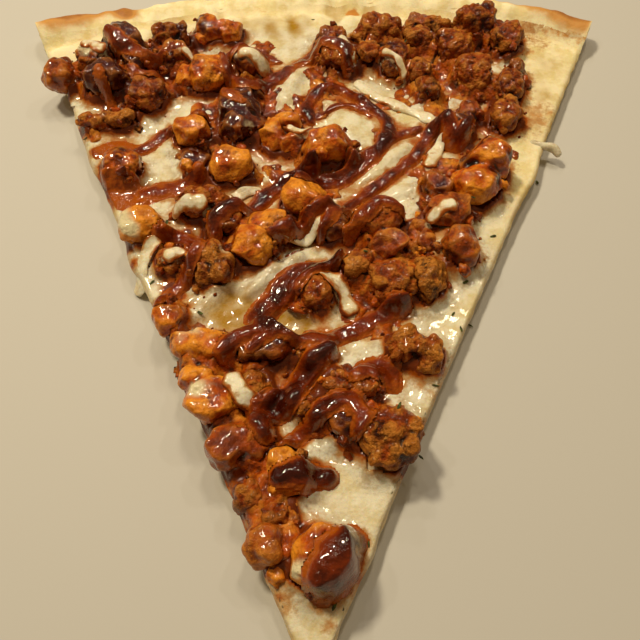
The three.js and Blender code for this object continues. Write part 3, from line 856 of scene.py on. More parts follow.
@dataclass(frozen=True)
class CheeseFinish:
    """Melted mozzarella: cream, with oily yellow spots, painted shade in the oil colour in its dips,
    browned spots, sauce stains that darken to painted shade at the foot of the chicken, and the bread
    colour on its right margin as painted light.
    """

    name: str = "melted cheese"
    cream: str = "eee8cc"
    yellow: str = "d9c78c"
    milk: str = "e6e1cb"
    thin: str = "bcab8a"
    oily: str = "a87c0a"
    browned: str = "c8863a"
    bread: Bread = Bread()
    # the darkest stain is also painted shade at the foot of the chicken
    stains: tuple[tuple[float, float, str], ...] = (
        (0.1, 0.5, "bc905a"), (0.42, 0.8, "a8540c"), (0.72, 1.1, "561802"),
    )
    relief: float = 0.2
    coat: float = 0.7

    def material(self) -> Material:
        """Reads the layers milky, bready, oil, toast and stain of the mesh.

        Each of the stains is a colour, with the values of the layer stain where it starts and is full; the
        darkest also stands for painted shade at the foot of the chicken.
        """
        material, wire = new_material(self.name)
        # the bread colour at the rim, and on the right margin as painted light
        bread_and_light = wire.layer("bread_and_light")
        base = mottled(wire, self.cream, self.yellow, 5.5, 0.85)
        veil = mottled(wire, self.milk, self.thin, 3.4, 0.95)
        color = wire.blend(wire.layer("milky"), base, veil)
        color = wire.blend(bread_and_light, color, self.bread.color(wire))
        # the layer oil holds yellow oil and also painted shade in the dips, both in the oil colour
        patchy = wire.times(wire.layer("oil"), wire.band(wire.noise(3.0), 0.35, 0.6, 0.85, 1.0))
        color = wire.blend(patchy, color, tint(self.oily))
        uneven = wire.around(0.5, wire.noise(2.4, 4.0), 1.2)
        toast = wire.band(wire.add(wire.layer("toast"), uneven), 0.3, 0.8)
        color = wire.blend(toast, color, tint(self.browned))
        ragged = wire.around(0.5, wire.noise(1.5, 4.0, 0.65), 0.9)
        stain_and_shade = wire.add(wire.layer("stain_and_shade"), ragged, clamp=True)
        for start, full, code in self.stains:
            color = wire.blend(wire.band(stain_and_shade, start, full), color, tint(code))
        fine = wire.add(wire.noise(0.8, 3.0, 0.55), wire.noise(2.8, 2.0))
        sheen = wire.band(wire.noise(4.0, 3.0), 0.35, 0.65, 0.22, 0.42)
        sheen = wire.add(sheen, wire.times(bread_and_light, 0.3))
        gloss = Gloss(
            subsurface=0.22, reach=(1.0, 0.6, 0.25), depth=1.2, coat_roughness=0.06, specular=0.12)
        coat = wire.blend(bread_and_light, (self.coat,) * 3 + (1.0,), (0.0, 0.0, 0.0, 1.0))
        finish(wire, gloss, color, sheen, wire.bump(fine, self.relief), coat)
        return material


@dataclass(frozen=True)
class ChickenFinish:
    """Cooked chicken with a film of sauce on it."""

    name: str
    # the meat's paler colour, also used as the painted light on ridges
    light: str
    deep: str
    crust: str
    thick: str = "420b02"
    sieve: str = "d4964a"
    # colour of the painted shade deep in crevices
    hollow_shade: str = "160400"
    milk: str = "e0d2a8"
    roughness: float = 0.34
    relief: float = 0.3
    grain: float = 0.9
    pitch: float = 2.4
    specks: float = 0.35
    wet: float = 1.0
    speck: str = "e2a252"

    def material(self) -> Material:
        """Reads the layers tone, hollow, film and milk of the mesh; the layer hollow gives painted light on
        ridges and painted shade in crevices.
        """
        material, wire = new_material(self.name)
        ragged = wire.around(0.5, wire.noise(2.4, 4.0, 0.6, 5.0), 0.7)
        coated = wire.group(FILM, {
            "Color": self.meat(wire), "Filter": tint(self.sieve), "Thick": tint(self.thick),
            "Film": wire.add(wire.layer("film"), ragged, clamp=True), "Roughness": self.roughness})
        color = self.painted_light_and_shade(wire, coated.outputs["Color"])
        milky = wire.add(wire.layer("milk"), wire.times(ragged, 0.5))
        color = wire.blend(wire.band(milky, 0.3, 0.8), color, tint(self.milk))
        gloss = Gloss(subsurface=0.06, depth=0.7, coat_roughness=0.05, specular=0.12)
        coat = wire.times(coated.outputs["Coat"], self.wet)
        finish(wire, gloss, color, coated.outputs["Roughness"], self.surface(wire), coat)
        return material

    def meat(self, wire: Wiring) -> Value:
        """The meat itself: two colours in blotches, the crust colour where the layer tone is high (seared
        in places, and painted shade on faces that point down), and pale specks.
        """
        meat = mottled(wire, self.light, self.deep, self.pitch, 0.9)
        seared = wire.add(wire.layer("tone"), wire.around(0.5, wire.noise(1.3, 5.0, 0.65), 1.4))
        meat = wire.blend(wire.band(seared, 0.4, 0.8), meat, tint(self.crust))
        specks = wire.band(wire.noise(1.0, 5.0, 0.7, 9.0), 0.54, 0.68, 0.0, self.specks)
        return wire.blend(specks, meat, tint(self.speck))

    def painted_light_and_shade(self, wire: Wiring, color: Value) -> Value:
        """Painted light on ridges, in the meat's light colour, and nearly black painted shade deep in the
        crevices.
        """
        # painted light on ridges and painted shade in crevices, by how sunken each point lies
        ridges = wire.band(wire.layer("hollow_shade"), 0.42, 0.1, 0.0, 0.4)
        hollow_shades = wire.band(wire.layer("hollow_shade"), 0.5, 0.92, 0.0, 0.95)
        return wire.blend(hollow_shades, wire.blend(ridges, color, tint(self.light)), tint(self.hollow_shade))

    def surface(self, wire: Wiring) -> Value:
        """Fine grain, small cells and soft bumps."""
        cells = wire.node("ShaderNodeTexVoronoi", None, {
            "Vector": wire.place(), "Scale": 1 / (self.grain * MM)}).outputs["Distance"]
        fine = wire.add(wire.noise(0.5, 3.0, 0.6), wire.times(cells, -0.9))
        fine = wire.add(fine, wire.times(wire.noise(1.5, 3.0), 2.2))
        return wire.bump(fine, self.relief)


@dataclass(frozen=True)
class SauceFinish:
    """Barbecue sauce: a clear dark red-brown, amber where it is thin."""

    thin: str = "a4500e"
    middle: str = "7c2c06"
    thick: str = "3a0b02"
    relief: float = 0.65
    roughness: float = 0.17
    coat: float = 0.8

    def material(self) -> Material:
        """Reads the layer depth of the mesh, in mm."""
        material, wire = new_material("barbecue sauce")
        fine = wire.around(0.5, wire.noise(2.2, 3.0), 1.0)
        broad = wire.around(0.54, wire.noise(9.0, 2.0), 1.8)
        depth = wire.add(wire.layer("depth"), wire.add(fine, broad))
        color = wire.blend(wire.band(depth, 0.15, 0.75), tint(self.thin), tint(self.middle))
        color = wire.blend(wire.band(depth, 0.6, 1.5), color, tint(self.thick))
        ripples = wire.add(wire.noise(2.0, 1.5), wire.times(wire.noise(0.8, 2.0), 0.4))
        gloss = Gloss(
            subsurface=0.14, reach=(1.0, 0.22, 0.05), depth=1.0, coat_roughness=0.03, specular=0.1)
        finish(wire, gloss, color, self.roughness, wire.bump(ripples, self.relief), self.coat)
        return material


@dataclass(frozen=True)
class HerbFinish:
    """Dried oregano."""

    green: str = "4f5a22"
    brown: str = "2f3014"

    def material(self) -> Material:
        """Two greens in small spots."""
        material, wire = new_material("dried oregano")
        color = wire.blend(wire.band(wire.noise(0.8), 0.4, 0.6), tint(self.green), tint(self.brown))
        finish(wire, Gloss(specular=0.3), color, 0.7, wire.bump(wire.noise(0.3), 0.05))
        return material


# ---------------- the chicken


class Look(Enum):
    """How a piece of chicken was cooked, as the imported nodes' names say it."""

    DICED = "diced"
    BROWNED = "browned"
    GLAZED = "glazed"


@dataclass(frozen=True)
class Crag:
    """Relief of one look, in mm, and how much sauce lies on it."""

    lumps: float
    dome_size: float
    domes: float
    creases: float
    ridges: float
    crumbs: float
    fibres: float
    film: float
    cuts: int
    soften: int = 2


CRAGS = {
    Look.DICED: Crag(
        lumps=0.8, dome_size=6.5, domes=0.35, creases=0.1, ridges=0.14, crumbs=0.12, fibres=0.22,
        film=0.42, cuts=12, soften=3),
    Look.BROWNED: Crag(
        lumps=0.8, dome_size=4.6, domes=1.5, creases=0.22, ridges=0.14, crumbs=0.36, fibres=0.24,
        film=0.48, cuts=3),
    Look.GLAZED: Crag(
        lumps=0.9, dome_size=6.0, domes=0.45, creases=0.08, ridges=0.35, crumbs=0.05, fibres=0.1,
        film=0.76, cuts=10, soften=3),
}


def relief_of(points: Array, crag: Crag, seed: int) -> Array:
    """How far each point of a piece of meat stands out, in mm.

    Lumps are plain noise, ridges are 1 - |noise|, domes stand round random centres with
    creases where two of them meet, crumbs are fine noise, and fibres are noise drawn out
    along one direction.

    Args:
        points: places in mm, n by 3.
        crag: the heights of each part of the relief.
        seed: tells pieces apart.

    Returns:
        Heights, in mm.
    """
    lumps = Lumps(4.6, seed).waves(points)
    bent = points + 0.9 * lumps[:, None] * np.array([1.0, -0.7, 0.5])
    ridges = 0.5 - 2.0 * np.abs(Lumps(2.9, seed + 1).waves(bent))
    nearest, second = Lumps(crag.dome_size, seed + 2).grains(bent)
    creases = 1 - smoothstep(0.0, 0.3, second - nearest)
    tiny = Lumps(1.5, seed + 4).waves(points) + 0.6 * Lumps(0.9, seed + 5).waves(points)
    turn = np.random.default_rng(seed).normal(size=3)
    turn /= np.linalg.norm(turn)
    fibres = Lumps(1.0, seed + 3).waves(points - 0.8 * np.outer(points @ turn, turn))
    total = crag.lumps * lumps + crag.ridges * ridges + crag.domes * (0.55 - nearest)
    return total - crag.creases * creases + crag.crumbs * tiny + crag.fibres * fibres


def chopped(points: Array, cuts: int, seed: int) -> Array:
    """Points of a lump of meat pushed back towards flat cuts.

    Each cut faces a random way and lies where 8 % of the points are beyond it.
    """
    random = np.random.default_rng(seed)
    for facing in random.normal(size=(cuts, 3)) * np.array([1.0, 1.0, 0.7]):
        facing /= np.linalg.norm(facing)
        ahead = points @ facing
        beyond = np.maximum(ahead - np.quantile(ahead, 0.92), 0)
        points = points - 0.85 * beyond[:, None] * facing
    return points


@dataclass
class Chicken:
    """All the pieces of chicken: a fine skin over each packed one."""

    cell: float = 0.45
    finishes: dict[Look, ChickenFinish] = field(default_factory=lambda: {
        Look.DICED: ChickenFinish(
            "orange chicken", "ea962a", "b2600e", "6a2a04", relief=0.16, pitch=3.6, specks=0.5),
        Look.BROWNED: ChickenFinish(
            "browned chicken", "c07a2c", "86460c", "401c03",
            roughness=0.5, relief=0.4, specks=0.85, wet=0.45),
        Look.GLAZED: ChickenFinish(
            "glazed chicken", "c47828", "7e3c10", "3c1002", relief=0.22, grain=1.3, specks=0.6),
    })
    seed_step: int = 31
    lighter: tuple[int, ...] = (1, 2, 7, 13, 16, 28, 29, 30, 31, 36, 37, 38, 40, 42, 44, 50, 51, 56, 57)
    nets: dict[str, Net] = field(default_factory=dict)
    hollow_shades: dict[str, Array] = field(default_factory=dict)

    def look(self, node: str) -> Look:
        """The look that a node's name gives."""
        return Look(node.split("_")[1])

    def seed(self, node: str) -> int:
        """Tells the piece's noise apart, by the number that its name ends with."""
        return self.seed_step * int(node[-2:])

    def nodes(self) -> list[str]:
        """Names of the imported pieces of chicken."""
        return sorted(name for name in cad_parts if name.startswith("chicken_"))

    def shape(self) -> None:
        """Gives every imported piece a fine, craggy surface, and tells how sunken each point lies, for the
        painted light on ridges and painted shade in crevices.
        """
        for node in self.nodes():
            crag, seed = CRAGS[self.look(node)], self.seed(node)
            net = net_of(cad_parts[node], self.cell)
            smooth = net.relaxed(chopped(net.points, crag.cuts, seed), crag.soften)
            relief = relief_of(smooth, crag, seed)
            points = smooth + net.normals(smooth) * relief[:, None]
            points = net.relaxed(points, 1)
            facing = net.normals(points)
            around = net.relaxed(points, 10)
            wide = net.relaxed(around, 40)
            # near 1 deep in crevices, where the finish paints shade, and low on ridges, where it paints
            # light
            inward = np.sum(((around - points) / 1.1 + (wide - points) / 2.6) * facing, axis=1)
            self.hollow_shades[node] = np.clip(0.48 + inward, 0, 1)
            self.nets[node] = Net(points, net.faces, net.edges)

    def raise_chart(self, chart: Chart) -> Chart:
        """A chart lifted to the top of all the chicken."""
        return chart.raised(np.concatenate([net.points for net in self.nets.values()]))

    def dress(self, charts: Layout) -> dict[Look, Material]:
        """Makes the pieces, with films of sauce and cheese on them, and gives their materials."""
        materials = {look: finish_.material() for look, finish_ in self.finishes.items()}
        for node, net in self.nets.items():
            look, seed, hollow_shade = self.look(node), self.seed(node), self.hollow_shades[node]
            x, y = net.points[:, 0], net.points[:, 1]
            upward = net.normals(net.points)[:, 2]
            patches = Lumps(5.0, seed + 7).waves(net.points)
            broad = Lumps(9.0, seed + 9).waves(net.points)
            uneven = Lumps(6.0, seed + 8).waves(net.points)
            own = np.random.default_rng(seed).uniform(-1, 1, 2)
            sauced = charts.wetted.at(x, y)
            film = CRAGS[look].film - 0.3 * (seed // self.seed_step in self.lighter)
            film += 0.52 * patches + 0.4 * broad + 0.14 * own[0]
            film += 0.4 * sauced + 0.55 * charts.soaked.at(x, y) + 0.4 * (hollow_shade - 0.5)
            # random seared crust, raised a little on faces that point down as painted shade
            tone = 0.32 + 0.2 * own[1] + 0.4 * uneven + 0.12 * (0.5 - upward)
            milk = charts.veiled.at(x, y) * smoothstep(-0.1, 0.5, upward) + 0.34 * patches
            milk -= 0.5 * (sauced > 0.75)
            layers = {"film": film, "tone": tone, "hollow_shade": hollow_shade, "milk": milk}
            make_piece(f"cooked_{node}", net.points, net.faces, materials[look], layers, (node,))
        return materials


# ---------------- poured and melted things


@dataclass(frozen=True)
class Band:
    """Something that ran or melted along a line: width, thickness and line in plan, in mm."""

    width: float
    thickness: float
    route: Plan


@dataclass(frozen=True)
class Flow:
    """How bands of one kind spread: their section, the film beside it and the uneven edge."""

    power: float
    skirt: float
    film: float
    ragged: float
    seed: int
    share: float = 1.0
    broad: float = 1.0
    step: float = 0.6

    def thickness(self, bands: tuple[Band, ...], net: Chart) -> Chart:
        """Thickness of all the bands together.

        At a distance d from a band's line, with q = d / half width, the core is
        thickness (1 - q^2)^power, and a thin film beside it ends at q = skirt. Bands that
        meet add up as the cube root of their cubes.

        Args:
            bands: what runs.
            net: gives the places in plan.

        Returns:
            The thickness in mm, 0 beside the bands.
        """
        x, y = net.grid()
        wander = waves_at(2.2, self.seed, x, y) * 0.3 + waves_at(5.0, self.seed + 1, x, y)
        rippled = 1 + 0.22 * waves_at(2.6, self.seed + 4, x, y)
        total = np.zeros(x.shape)
        for number, band in enumerate(bands):
            line = spline(band.route, self.step)
            travelled = self.step * np.arange(len(line))
            spots = flat_points(travelled, np.full(len(line), APART * number))
            swell = 1 + 0.3 * Lumps(1.5 * band.width, self.seed + 2).waves(spots)
            ending = smoothstep(0, band.width, np.minimum(travelled, travelled[::-1]))
            half = self.broad * 0.5 * band.width * swell * mix(0.6, 1.0, ending)
            uneven = 1 + 0.5 * Lumps(1.8 * band.width, self.seed + 3).waves(spots)
            depth = self.share * band.thickness * uneven
            reach = self.skirt * band.width
            low, high = line.min(axis=0) - reach, line.max(axis=0) + reach
            rows = slice(*np.searchsorted(y[:, 0], (low[1], high[1])))
            columns = slice(*np.searchsorted(x[0], (low[0], high[0])))
            place = np.stack([x[rows, columns], y[rows, columns]], axis=-1)
            apart = np.linalg.norm(place[:, :, None] - line, axis=-1)
            nearest = apart.argmin(axis=2)
            q = np.maximum(apart.min(axis=2) + self.ragged * wander[rows, columns], 0) / half[nearest]
            core = depth[nearest] * np.clip(1 - q**2, 0, 1) ** self.power
            thin = self.film * np.clip(1 - (q / self.skirt) ** 2, 0, 1)
            total[rows, columns] = np.cbrt(total[rows, columns] ** 3 + np.maximum(core, thin) ** 3)
        return net.holding(total * rippled)


def draped(
    name: str, thickness: Chart, exact: Chart, thick: float, bridge: float
) -> tuple[Array, Indices, Array]:
    """A closed skin for something soft that lies on a surface.

    Its underside follows the surface at its thin edges, without its peaks, and a smoothed
    surface in its middle. On slopes it keeps its thickness square to the surface.

    Args:
        name: what is laid, for the log.
        thickness: its thickness, on its own net.
        exact: the surface below.
        thick: thickness at which it bridges the roughness below.
        bridge: how far it smooths that roughness, in mm.

    Returns:
        Points, triangles and the thickness at each point.
    """
    x, y = thickness.grid()
    close = exact.blurred(0.35).at(x, y)
    smooth = exact.spread(0.8 * bridge).blurred(bridge).at(x, y)
    base = mix(np.minimum(close, smooth + 0.5), smooth, np.clip(thickness.values / thick, 0, 1))
    down, across = np.gradient(smooth, thickness.step)
    slope = np.minimum(np.sqrt(1 + down**2 + across**2), 2.0)
    laid = np.where(close > WEDGE.dough, thickness.values, 0)
    kept = any_corner(laid > 0.04)
    points, triangles = blanket(thickness, base + laid * slope, base - 0.5, base - 0.08, kept)
    log.info("%s covers %.0f square mm", name, kept.sum() * thickness.step**2)
    return points[:, :3], triangles, thickness.values.ravel()[points[:, 3].astype(int)]


@dataclass
class Sauce:
    """The thick drizzle of sauce."""

    flow: Flow = Flow(power=0.55, skirt=1.34, film=0.24, ragged=0.5, seed=811, share=0.95, broad=1.08)
    bands: tuple[Band, ...] = (
        Band(6.5, 0.45, ((-67, 27), (-61, 29), (-54, 29))),
        Band(3.6, 0.9, ((-55, 28), (-51, 31), (-46, 37), (-39, 40), (-33, 38))),
        Band(8.0, 0.5, ((-64, 14), (-58, 11), (-51, 10), (-45, 12))),
        Band(5.5, 0.8, ((-50, 11), (-44, 13), (-38, 14), (-34, 17))),
        Band(4.0, 0.9, ((-68, 74), (-62, 68), (-56, 66), (-50, 68))),
        Band(3.4, 0.8, ((-60, 60), (-54, 57), (-50, 60))),
        Band(3.6, 0.8, ((-30, 50), (-26, 45), (-22, 42))),
        Band(3.8, 1.2, ((-39, 69), (-33, 71), (-29, 66), (-25, 71), (-17, 73), (-12, 71))),
        Band(4.4, 1.2, ((-29, 64), (-26, 56), (-21, 52), (-14, 58), (-6, 68), (2, 73), (10, 69), (11, 64))),
        Band(4.0, 1.3, ((-1, 41), (-2, 48), (3, 56), (10, 56), (15, 50), (22, 43), (24, 38))),
        Band(2.6, 0.9, ((3, 44), (8, 48), (14, 47), (18, 43))),
        Band(5.0, 1.2, ((23, 41), (23, 34), (17, 25), (9, 17), (1, 14), (-4, 12))),
        Band(4.8, 1.3, ((0, 19), (-5, 18), (-10, 14), (-15, 8), (-20, 2), (-26, -3), (-27, -8))),
        Band(3.0, 1.0, ((22, 31), (27, 35), (33, 37))),
        Band(3.6, 1.2, (
            (48, 35), (43, 30), (40, 38), (36, 35), (31, 26), (23, 18), (16, 11), (8, 3), (2, -7))),
        Band(3.4, 1.1, ((11, 6), (4, 1), (-4, -4), (-11, -9))),
        Band(4.0, 0.9, ((24, -2), (18, 0), (14, -4), (10, -7))),
        Band(4.0, 0.9, ((-42, -7), (-38, -5), (-33, -8), (-31, -14), (-34, -20), (-38, -25), (-39, -30))),
        Band(6.4, 1.6, ((6, -15), (1, -17), (-4, -20), (-9, -26), (-14, -32), (-11, -37))),
        Band(4.8, 1.1, ((24, -29), (17, -32), (8, -37), (-2, -40), (-11, -38), (-18, -40), (-22, -45))),
        Band(5.6, 1.6, ((4, -43), (-1, -48), (-6, -55), (-12, -60), (-11, -65))),
        Band(3.4, 0.7, ((-7, -67), (-3, -64), (1, -61))),
        Band(5.0, 1.2, ((0, -61), (4, -58), (8, -57), (11, -61), (10, -65))),
        Band(6.6, 1.9, ((-7, -75), (-2, -74), (3, -74))),
        Band(6.0, 0.7, ((10, -50), (13, -48), (18, -48), (19, -51))),
        Band(10.0, 1.6, ((2, -96), (5, -93), (8, -88))),
        Band(1.8, 0.75, ((-1, -98), (4, -93), (8, -88))),
        Band(1.8, 0.75, ((3, -100), (7, -95), (10, -91))),
        Band(3.4, 1.0, ((-15, -44), (-12, -41), (-8, -40))),
        Band(2.6, 0.6, ((-68, 55), (-66, 50), (-64, 46))),
    )
    soaks: Plan = (
        (-62, 62, 18, 1.0), (-22, 45, 9, 0.9), (45, 38, 8, 0.5), (-15, -42, 9, 0.35),
        (6, -60, 9, 0.3), (17, -7, 8, 0.25), (-33, 20, 6, 0.6), (5, -2, 6, 0.4), (4, -92, 7, 1.0),
        (-18, -64, 9, 0.3), (-14, 30, 8, 0.3), (-26, -6, 7, 0.3),
    )
    thick: float = 0.9
    bridge: float = 1.0

    def soaked(self) -> Chart:
        """Where the sauce soaked all that is there, from 0 to 1."""
        net = Chart.blank()
        return net.holding(spots_at(self.soaks, *net.grid()))

    def spread_out(self) -> Chart:
        """How thick it lies at each place."""
        return self.flow.thickness(self.bands, Chart.blank(FINE_STEP))

    def lay(self, thickness: Chart, exact: Chart) -> None:
        """Makes the drizzle."""
        points, triangles, depth = draped("sauce", thickness, exact, self.thick, self.bridge)
        make_piece("sauce_drizzle", points, triangles, SauceFinish().material(), {"depth": depth})


@dataclass
class Strands:
    """Strands and patches of cheese that melted over the chicken."""

    flow: Flow = Flow(power=0.5, skirt=1.2, film=0.2, ragged=0.35, seed=821, share=0.62)
    step: float = 0.4
    around: int = 32
    follow: float = 0.8
    bridge: float = 1.3
    finish: CheeseFinish = CheeseFinish("thick cheese", milk="f2ebd2", thin="dccaa0")
    bands: tuple[Band, ...] = (
        Band(4.5, 1.4, ((-77, 69), (-73, 70), (-69, 66))),
        Band(3.6, 1.3, ((-44, 69), (-41, 68), (-37, 65))),
        Band(4.6, 1.3, ((-25, 65), (-20, 64), (-15, 61))),
        Band(3.4, 1.4, ((14, 61), (20, 53), (26, 48), (34, 43), (42, 36))),
        Band(3.4, 1.3, ((34, 20), (37, 27), (40, 33))),
        Band(3.8, 1.5, ((-40, 1), (-35, 2), (-29, 0))),
        Band(3.4, 1.3, ((-9, -8), (-4, -7), (3, -4))),
        Band(4.2, 1.3, ((1, -18), (7, -25), (10, -32))),
        Band(3.6, 1.1, ((-47, -22), (-46, -14), (-42, -8))),
        Band(3.2, 1.1, ((-40, -16), (-37, -14), (-34, -12))),
        Band(4.2, 2.0, ((-20, -50), (-17, -55), (-14, -59))),
        Band(2.6, 1.3, ((-8, 33), (-4, 30), (0, 31))),
        Band(2.4, 1.2, ((-24, 8), (-20, 11), (-15, 12))),
        Band(3.4, 1.0, ((31, -5), (35, -2), (39, 0))),
        Band(2.2, 1.2, ((9, 76), (12, 70), (13, 64))),
        Band(2.4, 1.3, ((22, 66), (27, 63), (30, 58))),
    )
    veils: Plan = (
        (-54, -3, 3.5, 1.0), (-50, -7, 4, 0.9), (-30, -37, 4, 0.9), (-23, -14, 3, 0.9), (-28, 25, 3, 0.7),
        (-27, -55, 3, 0.8), (-16, 67, 4, 0.8), (-20, 34, 3, 0.7), (-4, -94, 4, 0.9), (-74, 68, 5, 0.7),
    )

    def spread_out(self) -> Chart:
        """How thick they lie at each place."""
        return self.flow.thickness(self.bands, Chart.blank(FINE_STEP))

    def veiled(self, thickness: Chart) -> Chart:
        """1 where they cover the chicken, and some where only a film of cheese does."""
        x, y = thickness.grid()
        film = spots_at(self.veils, x, y) * (0.8 + 0.6 * waves_at(3.0, 828, x, y))
        covered = np.clip((thickness.values - 0.12) / 0.4, 0, 1)
        return thickness.holding(np.maximum(covered, film)).blurred(0.7)

    def tube(self, number: int, band: Band, smooth: Chart) -> Array:
        """One strand: a flat ellipse swept along its line.

        At u across the line the strand's middle is the surface below, drawn to its height on
        the line; the upper half stands thickness sqrt(1 - (u / half width)^2) over that, and
        the lower half reaches half as far below it. Both ends are rounded.

        Args:
            number: tells strands apart.
            band: its size and line.
            smooth: the surface below, smoothed.

        Returns:
            Rings of points, with the share of the full height as a fourth channel.
        """
        line = spline(band.route, self.step)
        travelled = self.step * np.arange(len(line))
        ahead = unit(np.gradient(line, axis=0))
        spots = flat_points(travelled, np.full(len(line), APART * number))
        swell = 1.12 + 0.45 * Lumps(1.5 * band.width, 822).waves(spots)
        rounding = rounded(np.minimum(travelled, travelled[::-1]) / (0.6 * band.width))[:, None]
        angle = np.linspace(0, math.tau, self.around + 1)[None, :]
        sides = np.stack([travelled / 2.2, np.full(len(line), 31.0 * number), np.zeros(len(line))], axis=1)
        left, right = (1 + 0.35 * Lumps(1.6, 826 + k).waves(sides)[:, None] for k in range(2))
        u = 0.5 * band.width * swell[:, None] * rounding * np.cos(angle)
        u *= np.where(u > 0, right, left)
        x = line[:, :1] + u * ahead[:, 1:]
        y = line[:, 1:] - u * ahead[:, :1]
        middle = smooth.at(line[:, 0], line[:, 1])[:, None]
        ground = mix(middle, smooth.at(x, y), self.follow)
        share = rounding * np.sin(angle)
        height = self.flow.share * band.thickness * np.where(share > 0, share, 0.5 * share)
        height += share * (0.16 * waves_at(2.4, 823, x, y) + 0.12 * waves_at(1.3, 825, x, y))
        return np.stack([x, y, ground + height + 0.1, share], axis=2)

    def lay(self, charts: Layout, exact: Chart, heaped: Chart) -> Chart:
        """Makes the strands and gives the surface with them on it."""
        smooth = exact.spread(0.8).blurred(self.bridge)
        skin = Skin()
        for number, band in enumerate(self.bands):
            skin.grid(self.tube(number, band, smooth), flip=True)
        points, triangles = skin.closed()
        x, y = points[:, 0], points[:, 1]
        low = 1 - smoothstep(0.5, 0.97, points[:, 3] + 0.25 * Lumps(2.0, 827).waves(points[:, :3]))
        meaty = smoothstep(0.15, 0.6, charts.zone.at(x, y) + 0.8 * heaped.at(x, y))
        stain_and_shade = meaty * (0.8 * low + 0.5 * Lumps(4.0, 824).waves(points[:, :3]))
        layers = {"stain_and_shade": stain_and_shade, "oil": 0.3 * low * meaty, "milky": 1 - 0.4 * low}
        layers |= {"toast": 0.0, "bread_and_light": 0.0}
        make_piece("cheese_strands", points, triangles, self.finish.material(), layers)
        return exact.raised(points[points[:, 3] > 0])


@dataclass(frozen=True)
class Drip:
    """A string of cheese that hangs out over the right cut."""

    width: float = 2.6
    route: Plan = ((67, 33.5, 3.4), (71.5, 31.5, 4.4), (74.5, 30.5, 4.3), (76.3, 28, 3.2))
    step: float = 0.35
    around: int = 20

    def lay(self, material: Material) -> None:
        """Sweeps a circle along the route; its radius swells, and is rounded off at both ends."""
        line = spline(self.route, self.step)
        ahead = unit(np.gradient(line, axis=0))
        across = unit(np.cross(ahead, np.array([0.0, 0.0, 1.0])))
        above = np.cross(across, ahead)
        travelled = self.step * np.arange(len(line))
        rounding = rounded(np.minimum(travelled, travelled[::-1]) / (0.5 * self.width))
        radius = 0.5 * self.width * rounding * (1 + 0.12 * np.sin(travelled))
        angle = np.linspace(0, math.tau, self.around + 1)[None, :, None]
        ring = np.cos(angle) * across[:, None] + np.sin(angle) * above[:, None]
        skin = Skin()
        skin.grid(line[:, None] + radius[:, None, None] * ring, flip=True)
        points, triangles = skin.closed()
        layers = {"stain_and_shade": 0.0, "oil": 0.1, "toast": 0.0, "milky": 0.8, "bread_and_light": 0.0}
        make_piece("cheese_string", points, triangles, material, layers)


